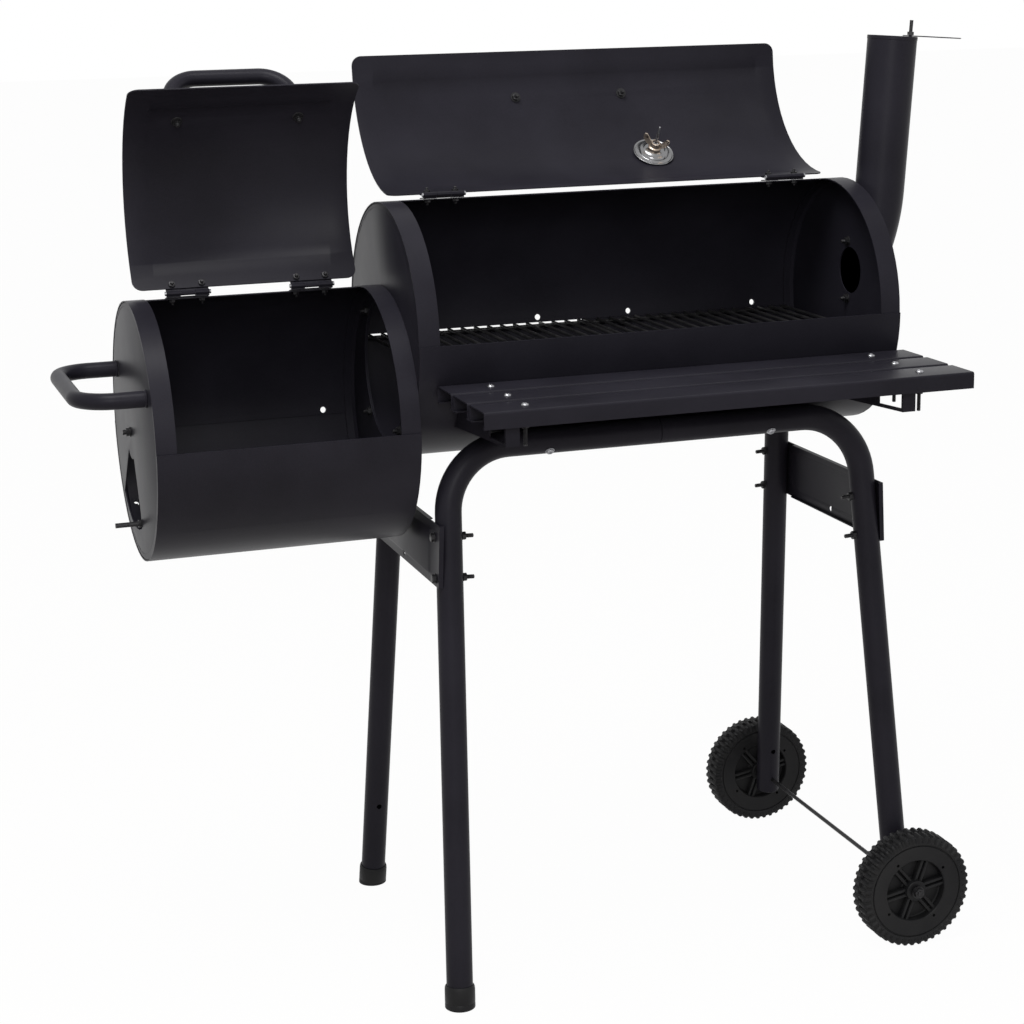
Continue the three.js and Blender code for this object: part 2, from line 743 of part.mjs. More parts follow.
// One butt hinge, closed, about its barrel axis: a fixed leaf on the shell behind the pin, a lid
// leaf on the outside of the lid, and the pin through the knuckles of both.
function hinge(name, hingeAngle, x) {
  const half = hingeWidth / 2;
  const split = hingeWidth / 6;
  const pin = sectionPoint(pinRadius, hingeAngle);
  const bore = barAlongX(hingePinRadius + touchGap / 2, -half - 5, half + 5, 8);
  bore.translate(0, pin.y, pin.z);

  const fixedLeaf = hingeLeafBody(barrelRadius + touchGap, hingeAngle, -1,
    [[-half, -split - touchGap], [split + touchGap, half]]);
  const lidLeaf = hingeLeafBody(lidOuter + touchGap, hingeAngle, 1, [[-split, split]]);
  const headed = joined(
    barAlongX(hingePinRadius, -half - 1, half + 1, 8),
    barAlongX(hingePinRadius + 0.9, -half - 2, -half - touchGap, 8),
    barAlongX(hingePinRadius + 0.9, half + touchGap, half + 2, 8));

  return {
    fixed: [
      node(`${name}_fixed_leaf`, cut(fixedLeaf, bore), blackSteel, vector(x, 0, 0)),
      node(`${name}_pin`, headed, brightSteel, vector(x, pin.y, pin.z)),
    ],
    moving: node(`${name}_lid_leaf`, cut(lidLeaf, bore), blackSteel, vector(x, 0, 0)),
  };
}

// A curved leaf behind (-1) or in front (1) of the pin, which stops clear of the knuckles of the
// other leaf, and its own knuckles. Each knuckle stands on a strip that runs on under the pin.
function hingeLeafBody(inner, hingeAngle, side, knuckles) {
  const outer = inner + hingeLeaf;
  const pin = sectionPoint(pinRadius, hingeAngle);
  const half = hingeWidth / 2;
  const leafFrom = (start, end, x0, x1) => arcWall(inner, outer,
    hingeAngle + Math.min(side * start, side * end),
    hingeAngle + Math.max(side * start, side * end), x0, x1);
  const clearAngle = (hingeKnuckleRadius + 0.7) / pinRadius / deg;
  const pieces = [leafFrom(clearAngle, hingeLeafSpan, -half, half)];
  for (const [start, end] of knuckles) {
    const web = block(start, end, Math.min(inner, pinRadius - 1), pinRadius,
      Math.min(0, side * hingeKnuckleRadius), Math.max(0, side * hingeKnuckleRadius));
    pieces.push(leafFrom(-0.2, clearAngle + 1, start, end));
    pieces.push(web.rotateX(hingeAngle * deg));
    pieces.push(barAlongX(hingeKnuckleRadius, start, end, 8).translate(0, pin.y, pin.z));
  }
  return joined(...pieces);
}

function sectionPoint(radius, angle) {
  return vector(0, radius * Math.cos(angle * deg), radius * Math.sin(angle * deg));
}

// Swings a lid and what it carries, all drawn closed, open about the hinge pin.
function swungOpen(pieces, hingeAngle, openAngle) {
  const pin = sectionPoint(pinRadius, hingeAngle);
  const swing = new THREE.Group();
  swing.position.copy(pin);
  swing.rotation.x = -openAngle * deg;
  const content = new THREE.Group();
  content.position.copy(pin).negate();
  content.add(...pieces);
  return swing.add(content);
}

// A handle on the outside of a lid, its grip along X.
function lidHandle(name, angle, x) {
  const grip = handle(lidHandleSpan, lidHandleReach, lidHandleBend).rotateZ(-Math.PI / 2);
  grip.translate(0, lidOuter + pressDepth, 0);
  return node(name, atSection(grip, angle, x), blackSteel);
}

function handleScrewHoles(angle, x) {
  return [-1, 1].map((side) => radialBar(screwRadius + touchGap, lidInner - 5, lidOuter + 5,
    angle, x + side * lidHandleSpan / 2, 8));
}

function chamberLid() {
  const half = chamberLength / 2 - chamberBand + lidOverlap;
  const gaugeHole = radialBar(gaugeStemRadius + touchGap, lidInner - 5, lidOuter + 5,
    gaugeAngle, gaugePosition, 16);
  const sheetBody = lidShell(half, chamberLidShift, chamberHingeAngle, chamberLidFrontAngle,
    chamberPanelInset,
    [gaugeHole, ...handleScrewHoles(chamberHandleAngle, chamberHandlePosition)]);
  const hinges = [
    hinge('main_hinge_left', chamberHingeAngle, -chamberHingeSpacing / 2),
    hinge('main_hinge_right', chamberHingeAngle, chamberHingeSpacing / 2),
  ];
  const moving = [
    node('main_lid', sheetBody, blackSteel),
    lidHandle('main_lid_handle', chamberHandleAngle, chamberHandlePosition),
    ...thermometer(),
    ...hinges.map((pair) => pair.moving),
  ];
  const assembly = new THREE.Group();
  assembly.position.z = chamberAxisHeight;
  assembly.add(swungOpen(moving, chamberHingeAngle, chamberLidOpen));
  assembly.add(...hinges.flatMap((pair) => pair.fixed));
  return assembly;
}

function fireboxLid() {
  const half = fireboxLength / 2 - fireboxBand + lidOverlap;
  const sheetBody = lidShell(half, fireboxLidShift, fireboxHingeAngle, fireboxLidFrontAngle,
    fireboxPanelInset, handleScrewHoles(fireboxHandleAngle, fireboxHandlePosition));
  const hinges = [
    hinge('firebox_hinge_left', fireboxHingeAngle, -fireboxHingeSpacing / 2),
    hinge('firebox_hinge_right', fireboxHingeAngle, fireboxHingeSpacing / 2),
  ];
  const moving = [
    node('firebox_lid', sheetBody, blackSteel),
    lidHandle('firebox_lid_handle', fireboxHandleAngle, fireboxHandlePosition),
    ...hinges.map((pair) => pair.moving),
  ];
  const assembly = new THREE.Group();
  assembly.position.set(fireboxMid, 0, fireboxAxisHeight);
  assembly.add(swungOpen(moving, fireboxHingeAngle, fireboxLidOpen));
  assembly.add(...hinges.flatMap((pair) => pair.fixed));
  return assembly;
}

// ---------------------------------------------------------------- thermometer

// Drawn along +Y, with Y = 0 on the middle of the lid's pressed sheet, then stood on the lid.
function thermometer() {
  const outside = sheet / 2 + touchGap;
  const middle = lidInner + pressDepth + sheet / 2;
  const caseTop = outside + gaugeCaseDepth;
  const inside = -outside - gaugeWasherRadius ** 2 / (2 * lidInner);

  const casing = joined(
    revolved([
      [0, outside], [gaugeCaseRadius - 3, outside], [gaugeCaseRadius, outside + 3],
      [gaugeCaseRadius, caseTop], [gaugeCaseRadius - 2.5, caseTop],
      [gaugeCaseRadius - 2.5, caseTop - 4], [0, caseTop - 4],
    ], gaugeSides),
    barAlongY(gaugeStemRadius, inside - 14, outside + 1, 12),
    barAlongY(gaugeProbeRadius, inside - gaugeProbeLength, inside - 13, 6));
  const dial = barAlongY(gaugeCaseRadius - 2.5 - touchGap, caseTop - 4 + touchGap,
    caseTop - 2.4, gaugeSides);
  const plate = revolved([
    [gaugeStemRadius + touchGap, inside - 5.5], [gaugeStemRadius + 6, inside - 5.5],
    [gaugeWasherRadius * 0.62, inside - 1], [gaugeWasherRadius, inside],
    [gaugeWasherRadius, inside - 1.2], [gaugeWasherRadius * 0.64, inside - 2.2],
    [gaugeStemRadius + 6.5, inside - 6.7], [gaugeStemRadius + touchGap, inside - 6.7],
  ].reverse(), gaugeSides);
  const nutTop = inside - 6.7 - touchGap;
  const wing = (side) => block(side < 0 ? -13 : 4, side < 0 ? -4 : 13, nutTop - 9, nutTop - 2,
    -1, 1);
  const wingNut = cut(joined(barAlongY(7, nutTop - 6, nutTop, 12), wing(-1), wing(1)),
    barAlongY(gaugeStemRadius + touchGap, nutTop - 10, nutTop + 1, 12));
  const finishes = [
    ['thermometer_case', casing, brightSteel],
    ['thermometer_dial', dial, dialWhite],
    ['thermometer_back_plate', plate, chrome],
    ['thermometer_wing_nut', wingNut, brass],
  ];
  return finishes.map(([name, geometry, finish]) => node(name,
    atSection(geometry.translate(0, middle, 0), gaugeAngle, gaugePosition), finish));
}

// Turns a profile of [radius, along] pairs about the Y axis.
function revolved(profile, segments) {
  const points = profile.map(([radius, along]) => new THREE.Vector2(radius, along));
  if (profile[0][0] > 0) {
    points.push(points[0].clone());
  }
  return new THREE.LatheGeometry(points, segments);
}

// ---------------------------------------------------------------- chimney

function chimney() {
  const group = new THREE.Group();
  const foot = vector(chamberHalf + touchGap, chimneyY, chamberAxisHeight + chimneyRise);
  const lean = Math.tan(chimneyLean * deg);
  const height = chimneyTop - foot.z;
  const cornerX = chimneyBend * Math.tan((90 - chimneyLean) / 2 * deg) + 0.6;
  const corner = foot.clone().add(vector(cornerX, 0, 0));
  const mouth = vector(corner.x + lean * height, chimneyY, chimneyTop);
  const axis = direction(corner, mouth);
  const pipe = tube(new BentLine([foot, corner, mouth], chimneyBend, 6), chimneyRadius,
    chimneyWall, 20);
  const flange = cut(
    barAlongX(chimneyFlangeRadius, foot.x, foot.x + chimneyFlangeSheet, 20)
      .translate(0, foot.y, foot.z),
    barAlongX(chimneyRadius - chimneyWall / 2, foot.x - 5, foot.x + 5, 20)
      .translate(0, foot.y, foot.z));

  // An ear inside the mouth carries the bolt on which the cap turns.
  const boltReach = chimneyRadius - chimneyWall - chimneyNutRadius - touchGap;
  const ear = block(boltReach - 5, chimneyRadius - chimneyWall / 2, -6, 6, -chimneyEarDrop - 2,
    -chimneyEarDrop);
  const earHole = barAlongZ(chimneyBoltRadius + touchGap, -chimneyEarDrop - 8,
    -chimneyEarDrop + 8, 12).translate(boltReach, 0, 0);
  const tilt = new THREE.Matrix4().makeRotationY(chimneyLean * deg).setPosition(mouth);
  const body = cut(joined(pipe, flange, ear.applyMatrix4(tilt)), earHole.applyMatrix4(tilt));
  group.add(node('chimney_tube', body, blackSteel));

  const head = new THREE.Group();
  head.position.copy(mouth);
  head.rotation.y = chimneyLean * deg;
  const disc = cut(barAlongZ(chimneyCapRadius, touchGap, touchGap + chimneyCapSheet, 32),
    barAlongZ(chimneyBoltRadius + touchGap, -5, 5, 12).translate(-chimneyCapPivot, 0, 0));
  const nutAt = (z) => barAlongZ(chimneyNutRadius, z, z + 4, 6);
  const bolt = joined(
    barAlongZ(chimneyBoltRadius, -chimneyEarDrop - 8, chimneyBoltRise, 12),
    nutAt(chimneyCapSheet + 2 * touchGap), nutAt(-4), nutAt(-chimneyEarDrop - 6 - touchGap));
  head.add(node('chimney_cap', disc, blackSteel, vector(boltReach + chimneyCapPivot, 0, 0)));
  head.add(node('chimney_cap_bolt', bolt, blackSteel, vector(boltReach, 0, 0)));
  group.add(head);
  return group;
}

// ---------------------------------------------------------------- stand

// Centre of a leg at a height: sideX is -1 for left and 1 for right, sideY -1 for front.
function legPoint(sideX, sideY, z) {
  return vector(frameShift + sideX * (legFootWidth / 2 - legSlopeX * z),
    sideY * (legFootSpread / 2 - legSlopeY(sideY) * z), z);
}

// Half of a leg frame, from its foot to the joint in the middle of its top tube.
function legFrame(sideX, sideY, footHeight) {
  const top = frameTop(sideY);
  const middle = vector(frameShift + (sideX < 0 ? -touchGap : 0), top.y, top.z);
  const line = new BentLine([legPoint(sideX, sideY, footHeight), legPoint(sideX, sideY, top.z),
    middle], legBend, 6);
  const halfTube = tube(line, legTube, legWall, tubeSides);
  if (sideX > 0) {
    return cut(halfTube, axleHole());
  }
  // The bore is a ring of flats, and the spigot stays inside the middles of them.
  const seat = legTube - legWall / 2;
  const outer = (legTube - legWall) * Math.cos(Math.PI / tubeSides) - touchGap;
  const inner = outer - spigotWall;
  const spigot = revolved([
    [inner, -spigotSeat], [seat, -spigotSeat], [seat, -2], [outer, 0], [outer, spigotLength],
    [inner, spigotLength],
  ], tubeSides).rotateZ(-Math.PI / 2).translate(middle.x, middle.y, middle.z);
  return joined(halfTube, spigot);
}

function axleHole() {
  return barAlongY(axleRadius + touchGap, -legFootSpread, legFootSpread, 8)
    .translate(axleX, 0, axleHeight);
}

// A cup under a leg, with its floor cut level with the ground.
function footCap(sideY) {
  const ground = legPoint(-1, sideY, 0);
  const up = direction(ground, legPoint(-1, sideY, 100));
  const floor = footCapFloor + footCapOuter * Math.tan(up.angleTo(vector(0, 0, 1)));
  const cup = revolved([
    [0, -footCapOuter], [footCapOuter, -footCapOuter], [footCapOuter, footCapHeight],
    [footCapInner, footCapHeight], [footCapInner, floor], [0, floor],
  ], footCapSides);
  cup.applyQuaternion(new THREE.Quaternion().setFromUnitVectors(vector(0, 1, 0), up));
  cup.translate(ground.x, ground.y, ground.z);
  const underground = block(ground.x - 60, ground.x + 60, ground.y - 60, ground.y + 60, -60, 0);
  return cut(cup, underground);
}

function footHeight(sideY) {
  const ground = legPoint(-1, sideY, 0);
  const tilt = direction(ground, legPoint(-1, sideY, 100)).angleTo(vector(0, 0, 1));
  return footCapFloor + footCapOuter * Math.tan(tilt) + 2 * touchGap;
}

// The tie between the two legs of one end: a sheet with folded edges and a pressed panel.
function legBracket(sideX) {
  const frontLeg = legPoint(sideX, -1, bracketMid);
  const backLeg = legPoint(sideX, 1, bracketMid);
  const legHalf = (backLeg.y - frontLeg.y) / 2;
  const halfWidth = legHalf + legTube + bracketLap;
  const halfHeight = bracketHeight / 2;
  const panelHalf = legHalf - bracketPanelStart;
  const panelRise = halfHeight - bracketPanelMargin;
  const face = legTube + touchGap;
  const web = pressedSheet(
    [-halfWidth, -panelHalf, -panelHalf + pressSlope, panelHalf - pressSlope, panelHalf,
      halfWidth],
    [-halfHeight, -panelRise, -panelRise + pressSlope, panelRise - pressSlope, panelRise,
      halfHeight],
    sheet, panelPress(-panelHalf, panelHalf, -panelRise, panelRise, pressSlope, pressDepth),
    (u, v, height) => ({ x: u, y: v, z: face + height }));

  const lip = (x0, x1, y0, y1) => block(x0, x1, y0, y1, face - bracketLip, face + 0.5);
  const legTaper = Math.max(legSlopeY(-1), legSlopeY(1)) * halfHeight;
  const topReach = legHalf - legTaper - legTube - 8;
  const bottomReach = legHalf + legTaper - legTube - 8;
  const lips = [
    lip(-halfWidth, -halfWidth + sheet, -halfHeight, halfHeight),
    lip(halfWidth - sheet, halfWidth, -halfHeight, halfHeight),
    lip(-topReach, topReach, halfHeight - sheet, halfHeight),
    lip(-bottomReach, bottomReach, -halfHeight, -halfHeight + sheet),
  ];
  const hole = barAlongZ(bracketHoleRadius, 0, 2 * face)
    .translate(0, -halfHeight + bracketHoleRise, 0);
  const flat = cut(joined(web, ...lips), hole);
  // Stood up outside the legs, leaning as they do.
  const outward = vector(sideX, 0, legSlopeX).normalize();
  const upward = vector(-sideX * legSlopeX, 0, 1).normalize();
  const along = upward.clone().cross(outward);
  const origin = frontLeg.add(backLeg).multiplyScalar(0.5);
  return flat.applyMatrix4(new THREE.Matrix4().makeBasis(along, upward, outward)
    .setPosition(origin));
}

function axle() {
  const pastWheel = axleNut + 2;
  return barAlongY(axleRadius, -wheelFaces(-1).outer - pastWheel,
    wheelFaces(1).outer + pastWheel).translate(axleX, 0, axleHeight);
}

function axleNutBody() {
  const nut = joined(barAlongY(axleWasherRadius, 0, 1.6, 16),
    barAlongY(axleNutRadius, 1, axleNut, 6));
  return cut(nut, barAlongY(axleRadius + touchGap, -1, axleNut + 1));
}

// A wheel about the Y axis, its outer face at Y = wheelWidth / 2: two rows of staggered lugs
// round a rim, a dished disc with six blind pockets between spokes, and a hub.
function wheel() {
  const half = wheelWidth / 2;
  const lugRoot = wheelRadius - wheelLugDepth;
  const carcass = lugRoot - 0.5;
  const rim = wheelRadius * 0.81;
  const pocket = wheelRadius * 0.57;
  const hub = wheelRadius * 0.2;
  const bore = axleRadius + wheelBoreClearance;
  const rows = [
    alongY(lugRow(lugRoot, carcass - 2.5, 0), wheelGroove / 2, half - 2),
    alongY(lugRow(lugRoot, carcass - 2.5, 0.5), -half + 2, -wheelGroove / 2),
  ];
  const body = revolved([
    [bore, -half], [hub, -half], [hub, -3], [pocket, -3], [pocket, -half + 4],
    [rim - 4, -half + 4], [rim - 1, -half], [rim + 3, -half], [carcass, -half + 3],
    [carcass, half - 3], [rim + 3, half], [rim - 1, half], [rim - 4, half - 4],
    [pocket, half - 4], [pocket, 3], [hub, 3], [hub, half], [bore, half],
  ], 20);
  const spokes = [];
  for (let i = 0; i < wheelSpokes; i += 1) {
    const spoke = block(hub - 2, pocket + 1, -half + 7, half - 7, -4, 4);
    spokes.push(spoke.rotateY(2 * Math.PI * i / wheelSpokes));
  }
  return joined(...rows, body, ...spokes);
}

function lugRow(root, inner, stagger) {
  const shape = new THREE.Shape();
  const pitch = 2 * Math.PI / wheelLugs;
  for (let i = 0; i < wheelLugs; i += 1) {
    const corners = [[root, 0.04], [wheelRadius, 0.1], [wheelRadius, 0.54], [root, 0.6]];
    for (const [radius, share] of corners) {
      const angle = (i + share + stagger) * pitch;
      const place = [radius * Math.cos(angle), radius * Math.sin(angle)];
      if (shape.curves.length === 0 && shape.currentPoint.lengthSq() === 0) {
        shape.moveTo(...place);
      } else {
        shape.lineTo(...place);
      }
    }
  }
  shape.closePath();
  shape.holes.push(new THREE.Path().absarc(0, 0, inner, 0, 2 * Math.PI, true));
  return shape;
}

// Turns a shape drawn in X and Z into a prism between two places along Y.
function alongY(shape, start, end, curveSegments = 8) {
  const geometry = new THREE.ExtrudeGeometry(shape, {
    depth: end - start, bevelEnabled: false, curveSegments,
  });
  return geometry.rotateX(Math.PI / 2).translate(0, end, 0);
}

function stand() {
  const group = new THREE.Group();
  for (const [end, sideX] of [['left', -1], ['right', 1]]) {
    for (const [face, sideY] of [['front', -1], ['back', 1]]) {
      const foot = sideX < 0 ? footHeight(sideY) : axleHeight - legPastAxle;
      group.add(node(`${face}_leg_frame_${end}`, legFrame(sideX, sideY, foot), blackSteel));
    }
    group.add(node(`leg_bracket_${end}`, legBracket(sideX), blackSteel));
  }
  group.add(node('foot_cap_front', footCap(-1), blackPlastic));
  group.add(node('foot_cap_back', footCap(1), blackPlastic));
  group.add(node('axle', axle(), blackSteel));
  for (const [face, side] of [['front', -1], ['back', 1]]) {
    const turned = new THREE.Group();
    turned.position.set(axleX, 0, axleHeight);
    turned.rotation.z = side < 0 ? Math.PI : 0;
    const faces = wheelFaces(side);
    turned.add(node(`${face}_wheel`, wheel(), blackPlastic,
      vector(0, faces.inner + wheelWidth / 2, 0)));
    turned.add(node(`${face}_axle_nut`, axleNutBody(), blackSteel,
      vector(0, faces.outer + touchGap, 0)));
    group.add(turned);
  }
  return group;
}

// ---------------------------------------------------------------- shelf

// A slat is a channel of sheet, open below, with its long edges returned inwards.
function slat() {
  const half = slatWidth / 2;
  const shape = new THREE.Shape();
  const inner = half - slatSheet;
  shape.moveTo(-half, -slatDepth);
  shape.lineTo(-half + slatReturn, -slatDepth);
  shape.lineTo(-half + slatReturn, -slatDepth + slatSheet);
  shape.lineTo(-inner, -slatDepth + slatSheet);
  shape.lineTo(-inner, -slatSheet);
  shape.lineTo(inner, -slatSheet);
  shape.lineTo(inner, -slatDepth + slatSheet);
  shape.lineTo(half - slatReturn, -slatDepth + slatSheet);
  shape.lineTo(half - slatReturn, -slatDepth);
  shape.lineTo(half, -slatDepth);
  shape.lineTo(half, -slatCorner);
  shape.absarc(half - slatCorner, -slatCorner, slatCorner, 0, Math.PI / 2, false);
  shape.lineTo(-half + slatCorner, 0);
  shape.absarc(-half + slatCorner, -slatCorner, slatCorner, Math.PI / 2, Math.PI, false);
  shape.closePath();
  const channel = alongX(shape, -slatLength / 2, slatLength / 2, 3);
  const holes = shelfBracketPositions.map((x) => barAlongZ(screwRadius + touchGap, -10, 10, 12)
    .translate(x - shelfShift, 0, 0));
  return cut(channel, ...holes);
}

function slatMiddle(index) {
  return shelfBackY - slatWidth / 2 - slatPitch * index;
}

// An angle under the slats. Its web runs out from the barrel and has a long opening at the front,
// its top carries the slats, its front end is folded over and its back end lies on the barrel.
function shelfBracket(x) {
  const webX = x - shelfBracketWebOffset;
  const tabEnd = webX + shelfBracketTab;
  const flangeEnd = webX + shelfBracketFlange;
  const top = shelfTop - slatDepth - touchGap;
  const front = slatMiddle(slatCount - 1) - slatWidth / 2 + shelfBracketTab;
  const clear = lowerOuter + touchGap;
  const rootDrop = chamberAxisHeight - top + shelfBracketBackDepth;
  const root = -Math.sqrt(clear ** 2 - rootDrop ** 2) + 2;
  const fall = (shelfBracketBackDepth - shelfBracketFrontDepth) / (root - front);
  const bottomAt = (y) => top - shelfBracketFrontDepth - fall * (y - front);

  const profile = new THREE.Shape();
  profile.moveTo(front, top);
  profile.lineTo(front, bottomAt(front));
  profile.lineTo(root, bottomAt(root));
  profile.lineTo(root, top);
  profile.closePath();
  const windowFront = front + shelfBracketStrip;
  const windowBack = windowFront + shelfBracketWindow;
  const opening = new THREE.Path();
  opening.moveTo(windowFront, top - shelfBracketStrip);
  opening.lineTo(windowBack, top - shelfBracketStrip);
  opening.lineTo(windowBack, bottomAt(windowBack) + shelfBracketStrip);
  opening.lineTo(windowFront, bottomAt(windowFront) + shelfBracketStrip);
  opening.closePath();
  profile.holes.push(opening);

  const web = alongX(profile, webX, webX + shelfBracketSheet);
  const flange = block(webX, flangeEnd, front, root, top - shelfBracketSheet, top);
  const tab = block(webX, tabEnd, front, front + shelfBracketSheet, bottomAt(front), top);
  const barrel = barAlongX(clear, webX - 5, flangeEnd + 5, 72)
    .translate(0, 0, chamberAxisHeight);
  const angleAt = (drop) => 180 + Math.asin(drop / clear) / deg;
  const seat = arcWall(clear, clear + shelfBracketSheet, angleAt(chamberAxisHeight - top),
    angleAt(rootDrop), webX, tabEnd).translate(0, 0, chamberAxisHeight);
  const holes = [];
  for (let i = 0; i < slatCount; i += 1) {
    holes.push(barAlongZ(screwRadius + touchGap, top - 10, top + 10, 12)
      .translate(x, slatMiddle(i), 0));
  }
  return cut(joined(cut(joined(web, flange, tab), barrel), seat), ...holes);
}

function shelf() {
  const group = new THREE.Group();
  ['back', 'middle', 'front'].forEach((place, index) => {
    group.add(node(`shelf_slat_${place}`, slat(), blackSteel,
      vector(shelfShift, slatMiddle(index), shelfTop)));
  });
  group.add(node('shelf_bracket_left', shelfBracket(shelfBracketPositions[0]), blackSteel));
  group.add(node('shelf_bracket_right', shelfBracket(shelfBracketPositions[1]), blackSteel));
  return group;
}

// ---------------------------------------------------------------- the whole smoker

const smoker = new THREE.Group();
smoker.name = 'offset_smoker';
smoker.add(cookingChamber(), firebox(), chamberLid(), fireboxLid(), chimney(), stand(), shelf());

const centred = new THREE.Group();
centred.add(smoker);
const bounds = new THREE.Box3().setFromObject(smoker);
const middle = bounds.getCenter(new THREE.Vector3());
smoker.position.set(-middle.x, -middle.y, -bounds.min.z);

export default centred;
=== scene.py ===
"""Looks of the offset smoker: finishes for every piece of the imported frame, finer shapes for its
tubes and wheels, its small fasteners, and a plain studio with the camera.

Metres, in the frame's own axes: X runs along the barrels towards the chimney, Y to the back and Z up.
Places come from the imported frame. Sizes of the pieces made here are in millimetres.
"""

import json
import math

import bmesh
import bpy
from mathutils import Matrix, Vector


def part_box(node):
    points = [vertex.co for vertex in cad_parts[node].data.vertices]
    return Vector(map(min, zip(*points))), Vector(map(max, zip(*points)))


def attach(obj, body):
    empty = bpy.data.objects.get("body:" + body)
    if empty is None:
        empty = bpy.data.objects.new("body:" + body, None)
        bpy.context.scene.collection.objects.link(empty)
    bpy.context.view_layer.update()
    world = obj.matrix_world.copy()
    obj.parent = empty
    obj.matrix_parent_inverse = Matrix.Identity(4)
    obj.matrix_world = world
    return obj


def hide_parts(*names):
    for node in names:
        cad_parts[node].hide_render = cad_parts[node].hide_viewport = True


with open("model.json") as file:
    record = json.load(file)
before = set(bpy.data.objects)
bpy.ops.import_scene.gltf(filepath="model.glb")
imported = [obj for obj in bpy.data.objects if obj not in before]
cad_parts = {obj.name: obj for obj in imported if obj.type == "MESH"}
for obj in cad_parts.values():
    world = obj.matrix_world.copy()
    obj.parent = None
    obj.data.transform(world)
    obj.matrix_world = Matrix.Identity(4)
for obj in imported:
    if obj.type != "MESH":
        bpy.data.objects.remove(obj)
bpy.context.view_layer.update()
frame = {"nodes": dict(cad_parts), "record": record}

MM = 0.001
MERGE_DISTANCE = 2e-6
SMOOTH_ANGLE = math.radians(32)
# The frame's own sizes, in millimetres.
TOUCH = 0.35             # kept between faces that rest on each other
SHEET = 1.5              # thickness of the barrels, the lids and the walls of the tubes
SHELL = 150              # radius of the outside of an upper shell
LID = 153.5              # radius of the inside of a lid
PRESSED = 1.6            # how far the raised panel of a lid stands out
# Seats of the fasteners made here, in millimetres.
ON_LEAF = 1.6            # from the sheet under a hinge leaf to the screws on the leaf
SUNK = 0.1               # into a flat face
CLEAR = 0.1              # off a round face
ALONG = Vector((1, 0, 0))
BACK = Vector((0, 1, 0))
UP = Vector((0, 0, 1))


# ---------------------------------------------------------------- places taken from the frame

def middle(node):
    """The middle of a node's box."""
    low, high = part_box(node)
    return (low + high) / 2


def chamber_axis():
    """A point on the axis of the cooking chamber, at the middle of its length."""
    cap = middle("main_left_end_cap")
    return Vector((middle("main_upper_shell").x, cap.y, cap.z))


CHAMBER = chamber_axis()
FIREBOX = middle("firebox_left_end_cap")
FIREBOX.x = middle("firebox_upper_shell").x


def at(x, y, z):
    """A point by its distances from the middle of the chamber, along and back, and from the ground."""
    return Vector((CHAMBER.x + x * MM, CHAMBER.y + y * MM, z * MM))


def on_section(axis, x, radius, angle):
    """A point at a radius and an angle round a barrel, x along from the middle of the chamber."""
    turned = math.radians(angle)
    return Vector((CHAMBER.x + x * MM, axis.y + radius * MM * math.cos(turned),
                   axis.z + radius * MM * math.sin(turned)))


def outward(angle):
    """Straight out of a barrel at an angle round it, 0 at the back and 90 at the top."""
    turned = math.radians(angle)
    return Vector((0, math.cos(turned), math.sin(turned)))


def swung(pin_node, degrees):
    """The turn about a hinge pin that carries a point of the shut lid to where it rests open."""
    pin = middle(pin_node)
    return (Matrix.Translation(pin) @ Matrix.Rotation(-math.radians(degrees), 4, "X")
            @ Matrix.Translation(-pin))


CHAMBER_LID = swung("main_hinge_left_pin", 180)
FIREBOX_LID = swung("firebox_hinge_left_pin", 118)


def facing(place, direction, turn=0.0):
    """A matrix at a place, its Z axis along a direction."""
    spin = Matrix.Rotation(math.radians(turn), 4, "Z")
    return Matrix.Translation(place) @ direction.to_track_quat("Z", "Y").to_matrix().to_4x4() @ spin


def standing(place, along, out):
    """A matrix at a place, its X axis along the surface there and its Z axis straight out of it."""
    return Matrix.Translation(place) @ Matrix((along, out.cross(along), out)).transposed().to_4x4()


# ---------------------------------------------------------------- node materials

